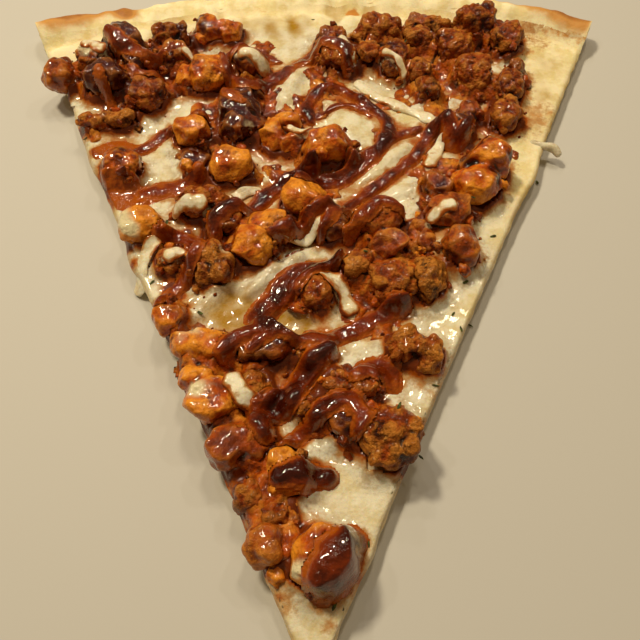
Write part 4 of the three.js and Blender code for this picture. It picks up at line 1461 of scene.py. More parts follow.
@dataclass
class Fillets:
    """What gathered round the foot of the chicken: melted cheese, and beds of crumbled meat."""

    step: float = 0.6
    reach: float = 2.3
    crumbled: ChickenFinish = ChickenFinish(
        "crumbled chicken", "d68a2a", "9c5410", "4a1e04", roughness=0.45, relief=0.22, specks=0.6, wet=0.6)
    beds: Plan = (
        (25, 75, 9, 0.9), (40, 72, 11, 0.9), (55, 75, 10, 0.9), (48, 60, 10, 0.9), (62, 52, 7, 0.6),
        (35, 58, 7, 0.8),
        (-72, 62, 9, 1), (-60, 58, 10, 1), (-48, 60, 9, 0.9), (-38, 68, 9, 0.8), (-25, 55, 7, 0.8),
        (-58, 72, 8, 0.9), (-22, 0, 7, 0.8), (-30, -12, 6, 0.9), (-14, -6, 6, 0.7), (33, 8, 5, 0.3),
        (20, -18, 8, 1), (28, -20, 5, 0.5), (8, -22, 5, 0.6), (17, -8, 7, 0.8), (-32, -38, 7, 0.9),
        (-25, -50, 8, 1), (-14, -42, 7, 0.8), (10, -57, 7, 0.8), (16, -66, 7, 0.9), (-18, -66, 7, 1),
        (-10, -78, 7, 0.9), (-8, -88, 6, 0.9), (0, -50, 6, 0.6), (24, -42, 5, 0.5), (-38, -30, 5, 0.8),
    )
    heaps: Plan = (
        (-2, 64, 6, 1.8), (5, 58, 6, 2.0), (-18, 78, 5, 1.8), (-10, 50, 6, 1.8), (20, 33, 6, 1.6),
        (33, 22, 7, 1.6), (-12, 18, 6, 1.8), (-35, 46, 6, 1.6), (-68, 34, 4, 1.2),
        (-34, -15, 5, 1.6), (10, -29, 5, 1.6), (18, -36, 6, 1.8), (-1, -62, 5, 1.6), (60, 27, 4, 1.4),
        (-5, -12, 5, 1.6), (-36, 18, 5, 1.5), (-50, 6, 4, 1.2), (14, -50, 5, 1.6), (-12, -30, 4, 1.2),
        (27, 50, 6, 1.5), (40, 46, 5, 1.5), (5, 10, 5, 1.6), (42, 22, 4, 1.4),
        (-12, 48, 6, 2.0), (-16, 57, 5, 1.8), (2, 47, 5, 1.8), (17, 50, 4, 1.6), (-6, 40, 5, 1.6),
        (-58, 42, 5, 1.4), (-25, 30, 5, 1.6), (-3, 27, 5, 1.6), (28, -6, 5, 1.6), (0, -38, 4, 1.4),
    )

    def skin(self, net: Chart, height: Array, cheese: Chart, meat: Chart) -> tuple[Array, Indices]:
        """A closed skin for what stands `height` over the cheese, without what the meat hides."""
        x, y = net.grid()
        r, _ = WEDGE.polar(x, y)
        ground = cheese.at(x, y)
        seen = (height > -0.02) & (ground + height > meat.at(x, y) - 1.6) & (r > 12)
        top = ground + np.maximum(height, -0.06)
        return blanket(net, top, ground - 0.6, ground - 0.07, any_corner(seen))

    def lay(
        self, charts: Layout, cheese: Chart, paint: dict[str, Chart], folded: Chart, melted: Material
    ) -> tuple[Chart, Chart]:
        """Makes them and gives the surface with them on it.

        Their height over the cheese is a share of the chicken's own height, smoothed over
        `reach`, less a little, with smooth relief on cheese and crumbs on the beds.

        Args:
            charts: where everything is.
            cheese: height of the cheese.
            paint: how the cheese is coloured.
            folded: height of the folds in the cheese, which have no meat on them.
            melted: the cheese's material.

        Returns:
            The highest surface of cheese, chicken and fillets, and 1 on the beds of meat.
        """
        meat, net = charts.meat, Chart.blank(self.step)
        x, y = net.grid()
        stands = meat.holding(np.maximum(meat.values - cheese.values, 0)).spread(0.5)
        lifted = stands.blurred(self.reach).at(x, y)
        r, t = WEDGE.polar(x, y)
        inside = 1 - smoothstep(-1.6, -0.3, (np.abs(t) - 1) * r * WEDGE.half_angle)
        heap = spots_at([(*spot[:3], 0.5 * spot[3]) for spot in self.heaps], x, y)
        heap = 2 * heap * smoothstep(-0.9, 0.1, waves_at(5.5, 839, x, y))
        bed = spots_at(self.beds, x, y) + 0.25 * waves_at(7.0, 831, x, y) + 0.6 * heap
        bed -= 0.9 * np.clip(folded.at(x, y), 0, 1)
        bent = 0.8 * waves_at(3.0, 836, x, y)
        crumbs = 0.8 * waves_at(2.6, 832, x + bent, y - bent) + 0.45 * waves_at(1.5, 840, x, y)
        crumbs += 0.6 * waves_at(6.0, 833, x, y)
        soft = 0.35 * waves_at(4.0, 834, x, y) + 0.25 * waves_at(2.2, 837, x, y)
        ground = np.maximum(0.78 * lifted, heap)
        meaty = (ground - 0.3 + crumbs * smoothstep(0.1, 1.2, ground)) * inside
        meaty -= 3.0 * (1 - smoothstep(0.35, 0.55, bed))
        milky = (0.6 * np.maximum(lifted, 1.2 * heap) - 0.4 + soft * smoothstep(0.1, 1.0, lifted)) * inside
        milky -= 1.2 * (1 - inside * smoothstep(0.05, 0.4, np.maximum(lifted, heap)))
        milky = 0.5 * (milky + np.sqrt(milky**2 + 0.12)) - 0.05
        points, triangles = self.skin(net, milky, cheese, meat)
        number = points[:, 3].astype(int)
        px, py = points[:, 0], points[:, 1]
        climb = smoothstep(0.2, 2.8, milky.ravel()[number])
        layers = {name: chart.at(px, py) for name, chart in paint.items()}
        # where the cheese climbs to the chicken it darkens: sauce stain and painted shade at the chicken's
        # foot
        layers["stain_and_shade"] += climb * (0.6 + 0.5 * Lumps(4.0, 835).waves(points[:, :3]))
        layers["oil"] = np.clip(layers["oil"] + 0.3 * climb, 0, 1)
        make_piece("cheese_fillets", points, triangles, melted, layers)
        highest = np.maximum(cheese.values, meat.spread(0.5).values)
        surface = cheese.holding(highest).raised(points)

        points, triangles = self.skin(net, meaty, cheese, meat)
        number = points[:, 3].astype(int)
        px, py = points[:, 0], points[:, 1]
        patches = Lumps(5.0, 838).waves(points[:, :3])
        film = 0.42 + 0.5 * patches + 0.3 * charts.wetted.at(px, py) + 0.5 * charts.soaked.at(px, py)
        # low crumbs get painted shade and high ones painted light, through the finish
        hollow_shade = np.clip(0.5 - 0.6 * crumbs.ravel()[number], 0, 1)
        milk = charts.veiled.at(px, py)
        layers = {"film": film, "tone": 0.35 + 0.4 * patches, "hollow_shade": hollow_shade, "milk": milk}
        make_piece("crumbled_beds", points, triangles, self.crumbled.material(), layers)
        return surface.raised(points), net.holding((meaty > 0.2) * 1.0).blurred(1.5)


# ---------------- cheese and dough


@dataclass
class Cheese:
    """The sheet of melted cheese on the dough."""

    rows: int = 290
    columns: int = 236
    wall: int = 5
    base_columns: int = 12
    edge_start: float = 0.97
    ends_before_crest: float = 3.5
    fading: float = 9.0
    cut_radius: float = 1.1
    stains: Plan = (
        (69, 42, 6, 0.5), (74, 49, 4, 0.35), (77, 88, 6, 0.55), (81, 80, 4, 0.3), (58, 25, 5, 0.4),
        (-49, -14, 2, 0.9), (-7, -99, 2, 0.6), (-5, -101, 2, 0.5), (3, -104, 2, 0.5), (26, -61, 3, 0.6),
        (30, -55, 2.5, 0.5), (71, 64, 3, 0.4), (11, 42, 5, 0.45), (5, 52, 4, 0.4), (-62, 15, 6, 0.4),
    )
    oils: Plan = (
        (71, 62, 5, 0.55), (76, 54, 4, 0.5), (66, 50, 4, 0.4), (80, 70, 5, 0.4), (-20, 92, 8, 0.3),
        (-6, 94, 6, 0.3),
        (-21, -30, 6, 1.5), (-5, -34, 5, 1.5), (-13, -34, 5, 1.0), (9, -33, 5, 0.6), (26, 66, 9, 0.6),
        (70, 40, 7, 0.35), (58, 12, 5, 0.4), (60, 3, 4, 0.3), (-13, 5, 6, 0.5), (-12, -89, 4, 0.5),
    )
    toasts: Plan = (
        (14, 100, 2.6, 1.4), (95, 91, 9, 1.0), (87, 94, 8, 0.7), (70, 84, 6, 0.85), (74, 76, 4, 0.6),
        (72, 45, 7, 0.6), (-60, 92, 8, 0.3), (80, 97, 7, 0.6), (-82, 88, 8, 0.35), (-20, 102, 6, 0.35),
        (40, 100, 7, 0.3),
    )
    cleans: Plan = (
        (42, -20, 7, 0.9), (51, -3, 6, 0.8), (36, -3, 5, 0.9), (34, -12, 4, 0.8), (30, -36, 6, 0.7),
        (25, 2, 5, 0.6), (25, 24, 4, 0.5), (-4, -21, 5, 0.5), (-19, -26, 5, 0.4), (8, -41, 5, 0.7),
        (13, -72, 6, 0.8), (7, -80, 5, 0.7), (-5, -61, 4, 0.8), (-5, -99, 5, 0.85), (8, -100, 4, 0.6),
        (4, -80, 5, 0.7), (-47, 24, 7, 0.8), (-48, 7, 5, 0.7), (-42, 0, 4, 0.7), (-49, -13, 4, 0.8),
        (-46, -21, 4, 0.7),
    )
    folds: tuple[Band, ...] = (
        Band(6.6, 1.0, ((-11, 46), (-8, 56), (-5, 64), (-2, 67))),
        Band(3.0, 1.0, ((-14, 52), (-11, 60), (-9, 66))),
        Band(9.0, 0.9, ((4, 49), (9, 44), (13, 36), (18, 26))),
        Band(6.0, 0.9, ((14, 16), (21, 23), (29, 30))),
        Band(5.6, 1.0, ((17, 5), (23, 10), (30, 14))),
        Band(4.6, 0.8, ((21, -12), (27, 0), (34, 13))),
        Band(8.0, 2.2, ((-17, -25), (-13, -21), (-9, -17), (-4, -13))),
        Band(3.4, 1.0, ((-33, -40), (-32, -33), (-28, -28))),
        Band(4.2, 1.0, ((-33, -34), (-26, -26), (-18, -22))),
        Band(4.4, 1.2, ((-3, -59), (2, -52), (7, -46))),
        Band(6.6, 1.2, ((5, -48), (14, -43), (23, -38))),
        Band(5.0, 1.0, ((-7, -71), (-1, -68), (6, -65))),
        Band(4.8, 0.9, ((-4, -80), (0, -77), (4, -74))),
        Band(3.6, 1.0, ((-60, 45), (-54, 42), (-49, 38))),
        Band(3.4, 1.0, ((-47, 30), (-43, 27), (-41, 23))),
        Band(4.4, 1.0, ((32, -15), (35, -8), (37, -1), (36, 4))),
    )
    fold_flow: Flow = Flow(power=0.9, skirt=1.25, film=0.1, ragged=0.7, seed=841)
    folded: Chart = field(init=False)

    def __post_init__(self) -> None:
        """Works out how high the folds stand."""
        self.folded = self.fold_flow.thickness(self.folds, Chart.blank()).blurred(0.5)

    def top(self, x: Array, y: Array, charts: Layout) -> Array:
        """Height of the visible cheese: its main form with relief, folds and a lip at the meat."""
        height = WEDGE.cheese_top(x, y)
        r, t = WEDGE.polar(x, y)
        busy = smoothstep(0.02, 0.3, charts.zone.at(x, y))
        strands = 0.5 - 2.2 * np.abs(waves_at(6.5, 40, x, y))
        lumps = 0.4 * strands + 0.4 * waves_at(4.2, 41, x, y) + 0.14 * waves_at(1.9, 42, x, y)
        calm = 0.2 * waves_at(9.0, 43, x, y) + 0.1 * waves_at(3.1, 44, x, y)
        rising = smoothstep(196, 212, r) - WEDGE.rising(r)
        calm += (WEDGE.pleat_height * WEDGE.pleats(x, r) + 0.6 * waves_at(9.0, 52, x, y)) * rising
        climb = 1.4 * smoothstep(0.12, 0.75, charts.near.at(x, y)) + self.folded.at(x, y)
        inside = 1 - smoothstep(self.edge_start, 1.0, np.abs(t))
        height = height + self.relief(x, y, WEDGE.dough_top(r, t))
        return height + (busy * lumps + calm) * (0.35 + 0.65 * inside) + climb * inside

    def relief(self, x: Array, y: Array, low: Array) -> Array:
        """The relief of the dough's rim under the sheet, in the shape of x."""
        return WEDGE.rim_relief(np.stack([x.ravel(), y.ravel(), low.ravel()], axis=1)).reshape(x.shape)

    def chart(self, charts: Layout) -> Chart:
        """The height of the cheese over the slice, and the floor around it."""
        blank = Chart.blank()
        x, y = blank.grid()
        r, t = WEDGE.polar(x, y)
        inside = (np.abs(t) <= 1.0) & (r < WEDGE.radius - WEDGE.rim_crest)
        return blank.holding(np.where(inside, self.top(x, y, charts), 0.0))

    def oiled(self, x: Array, y: Array) -> Array:
        """Where yellow oil stands on the cheese, in ragged spots."""
        return np.clip(spots_at(self.oils, x, y) * (0.9 + 0.7 * waves_at(3.0, 51, x, y)), 0, 1)

    def paint(self, charts: Layout) -> dict[str, Chart]:
        """Charts of how the cheese is coloured.

        Args:
            charts: where everything is.

        Returns:
            One chart for each layer that the finish reads.
        """
        x, y = charts.near.grid()
        r, t = WEDGE.polar(x, y)
        zone, sauced = charts.zone.values, charts.wetted.at(x, y)
        ragged = waves_at(3.4, 47, x, y)
        busy = smoothstep(0.03, 0.3, zone)
        # dark at the foot of the chicken, where near is high: sauce stain and painted shade
        stain_and_shade = 0.75 * smoothstep(0.15, 0.85, charts.near.values + 0.2 * ragged) + 0.5 * sauced
        stain_and_shade += busy * (0.34 + 0.35 * ragged + 0.5 * waves_at(9.0, 49, x, y))
        stain_and_shade += 0.6 * smoothstep(0.22, 0.65, zone)
        stain_and_shade += (0.42 + 0.5 * ragged) * smoothstep(0.03, 0.4, charts.wetted.blurred(2.0).at(x, y))
        stain_and_shade += 0.5 * busy * smoothstep(0.1, 0.7, charts.soaked.at(x, y))
        white = np.clip(self.folded.at(x, y), 0, 1)
        oil = self.oiled(x, y)
        stain_and_shade = stain_and_shade * (1 - 0.9 * oil) * (1 - spots_at(self.cleans, x, y)) - 0.5 * white
        stain_and_shade += spots_at(self.stains, x, y) * (0.8 + 0.5 * ragged)
        # painted shade, in the oil colour, in the dips of the rim's pleats
        dip_shade = 0.4 * smoothstep(0.0, 0.5, -WEDGE.pleats(x, r)) * smoothstep(194, 206, r)
        milky = 0.2 + 0.7 * smoothstep(0.02, 0.2, zone) + 0.4 * waves_at(11.0, 48, x, y) + 0.3 * white
        at_rim = smoothstep(200.0, 216.0, r + 5.0 * waves_at(8.0, 50, x, y))
        # painted light: the paler bread colour and its matte finish on the right margin
        painted_light_right = smoothstep(0.7, 0.86, t + 0.08 * waves_at(8.0, 53, x, y)) * smoothstep(110.0, 150.0, r)
        layers = {
            "stain_and_shade": np.clip(stain_and_shade, 0, 1.2), "oil": np.clip(oil + dip_shade, 0, 1),
            "toast": spots_at(self.toasts, x, y), "milky": milky, "bread_and_light": np.maximum(at_rim, painted_light_right),
        }
        return {name: charts.near.holding(values) for name, values in layers.items()}

    def build(self, charts: Layout, paint: dict[str, Chart], material: Material) -> None:
        """Makes the sheet: a fine top, rounded cut sides and a plain underside on the dough."""
        far = WEDGE.radius - WEDGE.rim_crest - self.ends_before_crest
        r = np.linspace(WEDGE.tip_radius, far, self.rows)[:, None]
        t = np.linspace(-1, 1, self.columns)[None, :]
        x, y = WEDGE.plan(r, t)
        low = WEDGE.dough_top(r, t * np.ones_like(r))
        low = low + self.relief(x, y, low)
        from_cut = (1 - np.abs(t)) * r * WEDGE.half_angle
        fading = smoothstep(0.0, self.fading, np.minimum(far - r, self.fading) * np.ones_like(t))
        thickness = self.top(x, y, charts) - low
        thickness = thickness * mix(0.55, 1, rounded(from_cut / self.cut_radius)) * fading
        high = low + np.maximum(thickness, 0.04) - 0.35 * smoothstep(1.2, 0.0, far - r)
        skin = Skin()
        top = np.stack([x, y, high], axis=2)
        skin.grid(top)
        base_t = np.linspace(-1, 1, self.base_columns)[None, :]
        bx, by = WEDGE.plan(r, base_t)
        plain = WEDGE.dough_top(r, base_t * np.ones_like(r))
        sunk = 1.5 * WEDGE.rising(r) * smoothstep(0, 0.15, 1 - np.abs(base_t))
        bottom = plain + np.minimum(self.relief(bx, by, plain), 0) - sunk - 0.02
        base = np.stack([bx, by, bottom], axis=2)
        skin.grid(base, flip=True)
        share = np.linspace(0, 1, self.wall)[:, None]
        for column, left in ((0, True), (-1, False)):
            edge, foot = top[:, column], base[:, column]
            wall = foot[None] + (edge - foot)[None] * share[:, :, None]
            bulge = 0.35 * np.sin(math.pi * share) * (1 + 0.8 * Lumps(4.0, 46).waves(edge))[None, :]
            skin.grid(wall + WEDGE.outward(left) * bulge[:, :, None], flip=left)
        skin.ladder(base[0], top[0])
        skin.ladder(top[-1], base[-1])
        points, triangles = skin.closed()
        px, py = points[:, 0], points[:, 1]
        layers = {name: chart.at(px, py) for name, chart in paint.items()}
        # painted shade, in the oil colour, where the sheet lies below its main form, weaker at the rim
        dip_shade = smoothstep(0.0, 0.9, WEDGE.cheese_top(px, py) + 0.15 - points[:, 2])
        dip_shade = dip_shade * mix(0.35, 1.0, smoothstep(214.0, 200.0, WEDGE.polar(px, py)[0]))
        layers["oil"] = np.clip(layers["oil"] + 0.5 * dip_shade, 0, 1)
        make_piece("cheese_melted", points, triangles, material, layers, ("cheese",))


@dataclass
class Dough:
    """The baked dough: thin and flat, with a low rim that is toasted on its edge."""

    flat_rows: int = 300
    flat_columns: int = 34
    rim_columns: int = 340
    rim_half: int = 24
    wall: int = 8
    waist: float = 0.45
    sharp_from: float = math.radians(55)
    toasts: Plan = (
        (-95, 95, 9, 0.9), (-86, 98, 8, 0.85), (-77, 101, 6, 0.7), (-69, 101, 4.5, 1.1), (-68, 97, 3, 0.9),
        (-87, 95, 3.5, 0.5), (97, 93, 9, 1.1), (88, 98, 8, 0.95), (80, 102, 7, 0.85), (72, 105, 6, 0.6),
        (60, 108, 9, 0.35), (30, 110, 9, 0.25), (-40, 108, 10, 0.25), (-10, 110, 12, 0.2),
    )

    def roughen(self, points: Array) -> Array:
        """Lumps, blisters and soft pleats on the rim, fading out where the dough is flat."""
        flat = points.reshape(-1, 3)
        r, t = WEDGE.polar(flat[:, 0], flat[:, 1])
        lift = WEDGE.rim_relief(flat) * np.clip(flat[:, 2] / WEDGE.dough, 0, 1)
        outward = np.stack([np.sin(t * WEDGE.half_angle), np.cos(t * WEDGE.half_angle)], axis=1)
        edge = smoothstep(WEDGE.radius - 6, WEDGE.radius, r)
        moved = flat.copy()
        moved[:, 2] = np.maximum(flat[:, 2] + lift * (1 - 0.6 * edge), 0.0)
        moved[:, :2] += outward * (lift * edge * 0.8)[:, None]
        return moved.reshape(points.shape)

    def rim_profile(self, t: Array) -> tuple[Array, Array]:
        """The rim's section, top row to outermost row and bottom row to outermost row.

        The top climbs from the flat part to the crest and rounds down a quarter ellipse;
        the bottom runs flat to the undercut and rounds up another to the same edge.
        """
        half = self.rim_half
        crest, out = WEDGE.radius - WEDGE.rim_crest, WEDGE.radius
        height = WEDGE.rim_height(t)[None, :]
        climb = np.linspace(WEDGE.flat_end, crest, half // 2, endpoint=False)[:, None]
        angle = np.linspace(0, math.pi / 2, half - half // 2 + 1)[:, None]
        top_r = np.vstack([climb, crest + (out - crest) * np.sin(angle)])
        waist = self.waist * height
        top_z = np.vstack([
            WEDGE.dough_top(climb, np.broadcast_to(t, (len(climb), len(t)))),
            waist + (height - waist) * np.cos(angle),
        ])
        foot = out - WEDGE.rim_undercut
        flat = np.linspace(WEDGE.flat_end, foot, half // 2, endpoint=False)[:, None]
        low_r = np.vstack([flat, foot + WEDGE.rim_undercut * np.sin(angle)])
        low_z = np.vstack([flat * 0 * height, waist * (1 - np.cos(angle))])
        rows = []
        for r, z in ((top_r, top_z), (low_r, low_z)):
            x, y = WEDGE.plan(r * np.ones_like(z), t[None, :] * np.ones_like(z))
            rows.append(np.stack([x, y, z], axis=2))
        return rows[0], rows[1]

    def cut_face(self, skin: Skin, low: Array, high: Array, left: bool) -> None:
        """A cut side: torn pores between the bottom line and the top line."""
        share = np.linspace(0, 1, self.wall)[:, None, None]
        wall = mix(low[None], high[None], share)
        flat = wall.reshape(-1, 3)
        nearest, _ = Lumps(1.9, 71).grains(flat * np.array([1, 1, 1.6]))
        pores = 0.75 * smoothstep(0.5, 0.1, nearest) + 0.2 * Lumps(4, 72).waves(flat)
        inner = np.sin(math.pi * share[:, :, 0]) ** 0.5
        thick = np.clip((high - low)[None, :, 2] / 2.0, 0, 1)
        depth = pores.reshape(wall.shape[:2]) * inner * thick
        skin.grid(wall - WEDGE.outward(left) * depth[:, :, None], flip=not left)

    def build(self) -> None:
        """Makes the dough and its layers of toasting."""
        skin = Skin()
        r = np.linspace(WEDGE.tip_radius, WEDGE.flat_end, self.flat_rows)[:, None]
        t = np.sin(np.linspace(-math.pi / 2, math.pi / 2, self.flat_columns))[None, :]
        x, y = WEDGE.plan(r, t)
        flats = [np.stack([x, y, np.full_like(x, z)], axis=2) for z in (0.0, WEDGE.dough)]
        skin.grid(flats[1])
        skin.grid(flats[0], flip=True)
        rim_t = np.linspace(-1, 1, self.rim_columns)
        high, low = (self.roughen(rows) for rows in self.rim_profile(rim_t))
        skin.grid(high)
        skin.grid(low, flip=True)
        skin.ladder(flats[1][-1], high[0])
        skin.ladder(flats[0][-1], low[0], flip=True)
        for column, left in ((0, True), (-1, False)):
            self.cut_face(skin, flats[0][:, column], flats[1][:, column], left)
            self.cut_face(skin, low[:, column], high[:, column], left)
        share = np.linspace(0, 1, self.wall)[:, None, None]
        skin.grid(mix(flats[0][0][None], flats[1][0][None], share))
        points, triangles = skin.closed()
        px, py, pz = points.T[:3]
        radius, across = WEDGE.polar(px, py)
        edge = smoothstep(WEDGE.radius - 4.0, WEDGE.radius, radius)
        toast = spots_at(self.toasts, px, py) * smoothstep(WEDGE.radius - 17, WEDGE.radius - 8, radius)
        layers = {
            "toast": toast + 0.42 * edge + 0.25 * edge * (pz < 3),
            "under": (pz < 0.3) * 1.0,
            "cut": smoothstep(0.7, 0.2, (1 - np.abs(across)) * radius * WEDGE.half_angle) * (pz > 0.3),
        }
        piece = make_piece(
            "dough_baked", points, triangles, DoughFinish().material(), layers, ("dough",))
        piece.data.set_sharp_from_angle(angle=self.sharp_from)


# ---------------- small things


def ball(subdivisions: int) -> tuple[Array, Indices]:
    """Points and triangles of an even ball of radius 1."""
    build = bmesh.new()
    bmesh.ops.create_icosphere(build, subdivisions=subdivisions, radius=1.0)
    points = np.array([corner.co[:] for corner in build.verts])
    faces = np.array([[corner.index for corner in side.verts] for side in build.faces])
    build.free()
    return points, faces


def copies(faces: Indices, points: int, count: int) -> Indices:
    """Faces of `count` shapes in one mesh, each with so many points."""
    return (faces[None] + points * np.arange(count)[:, None, None]).reshape(-1, 3)


def turned_balls(
    random: np.random.Generator, centres: Array, sizes: Array, detail: int, relief: float, seed: int
) -> tuple[Array, Indices]:
    """Many lumpy balls in one mesh.

    Args:
        random: draws their turns.
        centres: n by 3, in mm.
        sizes: half lengths along their own three axes, n by 3, in mm.
        detail: subdivisions of the ball.
        relief: height of the lumps, as a share of the size.
        seed: tells the lumps apart.

    Returns:
        Points in mm and triangles.
    """
    shape, faces = ball(detail)
    axes = np.linalg.qr(random.normal(size=(len(centres), 3, 3)))[0]
    local = shape[None] * sizes[:, None, :]
    own = (shape[None] * 1.3 + 10.0 * np.arange(len(centres))[:, None, None]).reshape(-1, 3)
    swell = 1 + relief * Lumps(1.0, seed).waves(own).reshape(len(centres), -1, 1)
    placed = np.einsum("nij,nkj->nki", axes, local * swell) + centres[:, None, :]
    return placed.reshape(-1, 3), copies(faces, len(shape), len(centres))


@dataclass(frozen=True)
class Scatter:
    """Crumbs of one kind, strewn beside the chicken."""

    name: str
    look: Look
    count: int
    size: tuple[float, float]
    closeness: tuple[float, float]
    detail: int
    seed: int
    sunk: float = 0.1
    tries: int = 60
    highest: float = 9.5
    relief: float = 0.5

    def lay(self, charts: Layout, exact: Chart, material: Material) -> None:
        """Draws places and takes the first that lie at the wanted closeness to the chicken."""
        random = np.random.default_rng(self.seed)
        r = WEDGE.radius * np.sqrt(random.uniform(0.004, 0.86, self.tries * self.count))
        t = random.uniform(-0.96, 0.96, self.tries * self.count)
        x, y = WEDGE.plan(r, t)
        close = charts.zone.at(x, y)
        low = charts.meat.at(x, y) < self.highest
        kept = np.flatnonzero((close > self.closeness[0]) & (close < self.closeness[1]) & low)[: self.count]
        x, y = x[kept], y[kept]
        long = mix(*self.size, random.uniform(0, 1, len(kept)) ** 1.6) / 2
        sizes = long[:, None] * random.uniform(0.5, 1.0, (len(kept), 3))
        centres = np.stack([x, y, exact.at(x, y) - self.sunk * long], axis=1)
        points, faces = turned_balls(random, centres, sizes, self.detail, self.relief, self.seed)
        each = len(points) // len(kept)
        own = np.repeat(random.uniform(-0.3, 0.3, (2, len(kept))), each, axis=1)
        patches = Lumps(2.5, self.seed + 1).waves(points)
        film = CRAGS[self.look].film + 0.35 * patches + own[0]
        # a middle value, at which the finish paints neither light nor shade
        layers = {"film": film, "tone": 0.35 + 0.3 * patches + own[1], "hollow_shade": 0.45, "milk": 0.0}
        make_piece(self.name, points, faces, material, layers)


@dataclass
class Herbs:
    """Thin flakes of dried oregano: half lengths, thickness and curl in mm."""

    seed: int = 77
    long: tuple[float, float] = (0.5, 1.1)
    wide: tuple[float, float] = (0.2, 0.45)
    thick: float = 0.09
    curl: float = 0.12
    lift: float = 0.15
    places: Plan = (
        (40, -20), (44, 2), (42, -30), (38, -35), (30, -50), (1, 15), (13, -15), (-40, -1), (-43, -21),
        (-9, -94), (30, 71), (36, -30), (25, -70), (12, -88), (68, 20), (-72, 33), (50, -4), (20, -60),
        (-30, -30), (60, 100), (0, 96), (-50, 93), (34, -12), (5, -100),
    )

    def lay(self, exact: Chart) -> None:
        """One flake at each place, flat on what is below it."""
        random = np.random.default_rng(self.seed)
        x, y = np.array(self.places, float).T
        x, y = x + random.uniform(-1, 1, len(x)), y + random.uniform(-1, 1, len(x))
        shape, faces = ball(2)
        turn = random.uniform(0, math.tau, len(x))
        long, wide = random.uniform(*self.long, len(x)), random.uniform(*self.wide, len(x))
        local = shape[None] * np.stack([long, wide, np.full(len(x), self.thick)], axis=1)[:, None, :]
        local[:, :, 2] += self.curl * np.sin(3.5 * local[:, :, 0]) + self.lift
        cos, sin = np.cos(turn)[:, None], np.sin(turn)[:, None]
        px = local[:, :, 0] * cos - local[:, :, 1] * sin + x[:, None]
        py = local[:, :, 0] * sin + local[:, :, 1] * cos + y[:, None]
        pz = local[:, :, 2] + exact.at(x, y)[:, None]
        points = np.stack([px, py, pz], axis=2).reshape(-1, 3)
        faces = copies(faces, len(shape), len(x))
        make_piece("herb_flakes", points, faces, HerbFinish().material())


# ---------------- the studio


@dataclass(frozen=True)
class Lamp:
    """A soft rectangular light: its place and size in metres."""

    name: str
    place: tuple[float, float, float]
    size: tuple[float, float]
    watts: float
    color: str

    def build(self) -> None:
        """Turns the light to the slice."""
        data = bpy.data.lights.new(self.name, "AREA")
        data.shape = "RECTANGLE"
        data.size, data.size_y = self.size
        data.energy = self.watts
        data.color = tint(self.color)[:3]
        lamp = shown(self.name, data)
        lamp.location = self.place
        lamp.rotation_euler = (-Vector(self.place)).to_track_quat("-Z", "Y").to_euler()


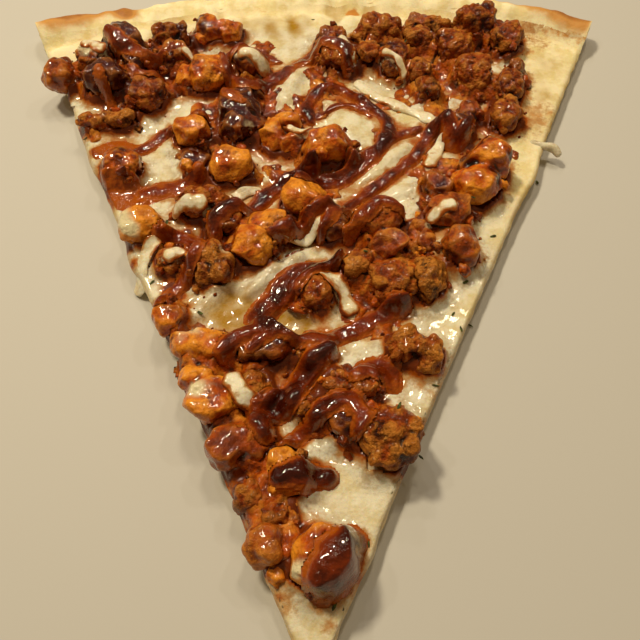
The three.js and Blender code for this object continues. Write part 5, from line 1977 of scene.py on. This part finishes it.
@dataclass(frozen=True)
class Studio:
    """Floor, light and camera, in metres, degrees and, for the lens and its sensor, mm."""

    eye: tuple[float, float, float] = (0.00124, -0.12002, 0.14599)
    pitch: float = 58.5
    yaw: float = 0.258
    lens: float = 36.0
    sensor: float = 36.0
    nearest: float = 0.005
    floor_size: float = 6.0
    floor_height: float = -0.0002
    floor_color: str = "c8c6c0"
    sky: float = 0.19
    sky_color: str = "ffdca6"
    lamps: tuple[Lamp, ...] = (
        Lamp("key", (-0.30, 0.26, 0.72), (0.1, 0.08), 4.0, "ffeecb"),
        Lamp("second", (0.16, 0.50, 0.90), (0.12, 0.10), 1.5, "ffeecb"),
    )
    sparkle: Lamp = Lamp("sparkle", (0.0, 0.0, 1.0), (0.02, 0.02), 0.34, "fff2e0")
    sparkles: Plan = (
        (-0.18, 0.40, 0.62), (0.10, 0.32, 0.75), (-0.42, 0.10, 0.66), (0.34, 0.30, 0.60),
        (-0.05, 0.62, 0.60),
    )

    def camera(self) -> None:
        """Looks down on the slice from above its pointed end."""
        data = bpy.data.cameras.new("camera")
        data.lens = self.lens
        data.sensor_width = self.sensor
        data.clip_start = self.nearest
        camera = shown("camera", data)
        camera.location = self.eye
        camera.rotation_euler = (math.radians(90 - self.pitch), 0.0, -math.radians(self.yaw))
        bpy.context.scene.camera = camera

    def floor(self) -> None:
        """A plain pale floor just under the slice."""
        half = self.floor_size / 2
        mesh = bpy.data.meshes.new("floor")
        corners = [(-half, -half, 0), (half, -half, 0), (half, half, 0), (-half, half, 0)]
        mesh.from_pydata(corners, [], [(0, 1, 2, 3)])
        material, wire = new_material("plain floor")
        finish(wire, Gloss(specular=0.3), tint(self.floor_color), 0.6, None)
        mesh.materials.append(material)
        floor = shown("floor", mesh)
        floor.location.z = self.floor_height

    def light(self) -> None:
        """A key from the upper left and behind, a second, small sparkles and an even, dim sky."""
        for lamp in self.lamps:
            lamp.build()
        for number, place in enumerate(self.sparkles):
            replace(self.sparkle, name=f"sparkle_{number}", place=place).build()
        world = bpy.data.worlds.new("even sky")
        world.use_nodes = True
        background = world.node_tree.nodes["Background"]
        background.inputs["Color"].default_value = tint(self.sky_color)
        background.inputs["Strength"].default_value = self.sky
        bpy.context.scene.world = world
        bpy.context.scene.view_settings.view_transform = "Standard"
        bpy.context.scene.view_settings.look = "None"

    def build(self) -> None:
        """Everything around the slice."""
        self.camera()
        self.floor()
        self.light()


# ---------------- putting it together


CRUMBS = (
    Scatter("scraps_browned", Look.BROWNED, 80, (2.6, 5.6), (0.38, 0.9), detail=3, seed=301, sunk=0.3),
    Scatter("scraps_orange", Look.DICED, 60, (2.6, 5.6), (0.38, 0.9), detail=3, seed=302, sunk=0.3),
    Scatter("crumbs_browned", Look.BROWNED, 240, (0.8, 2.2), (0.25, 0.85), detail=2, seed=303),
)


def covered_by(meat: Chart) -> Chart:
    """1 where chicken stands over the cheese."""
    x, y = meat.grid()
    return meat.holding((meat.spread(0.5).values > WEDGE.cheese_top(x, y) + 0.5) * 1.0)


def main() -> None:
    """Builds the slice from the bottom up."""
    logging.basicConfig(level=logging.INFO, format="%(name)s %(message)s")
    Studio().build()
    chicken, sauce, strands, cheese = Chicken(), Sauce(), Strands(), Cheese()
    chicken.shape()
    meat = chicken.raise_chart(Chart.blank())
    covered = covered_by(meat)
    depth = sauce.spread_out()
    wetted = depth.holding(np.clip(depth.values / 0.5, 0, 1)).blurred(1.2)
    veiled = strands.veiled(strands.spread_out())
    charts = Layout(meat, covered.blurred(1.1), covered.blurred(3.2), wetted, veiled, sauce.soaked())
    meats = chicken.dress(charts)
    melted = CheeseFinish().material()
    paint = cheese.paint(charts)
    cheese.build(charts, paint, melted)
    Dough().build()
    exact, heaped = Fillets().lay(charts, cheese.chart(charts), paint, cheese.folded, melted)
    raised = strands.lay(charts, exact, heaped)
    Drip().lay(melted)
    sauce.lay(depth, raised)
    for scatter in CRUMBS:
        scatter.lay(charts, exact, meats[scatter.look])
    Herbs().lay(raised)


if __name__ == "__main__":
    main()
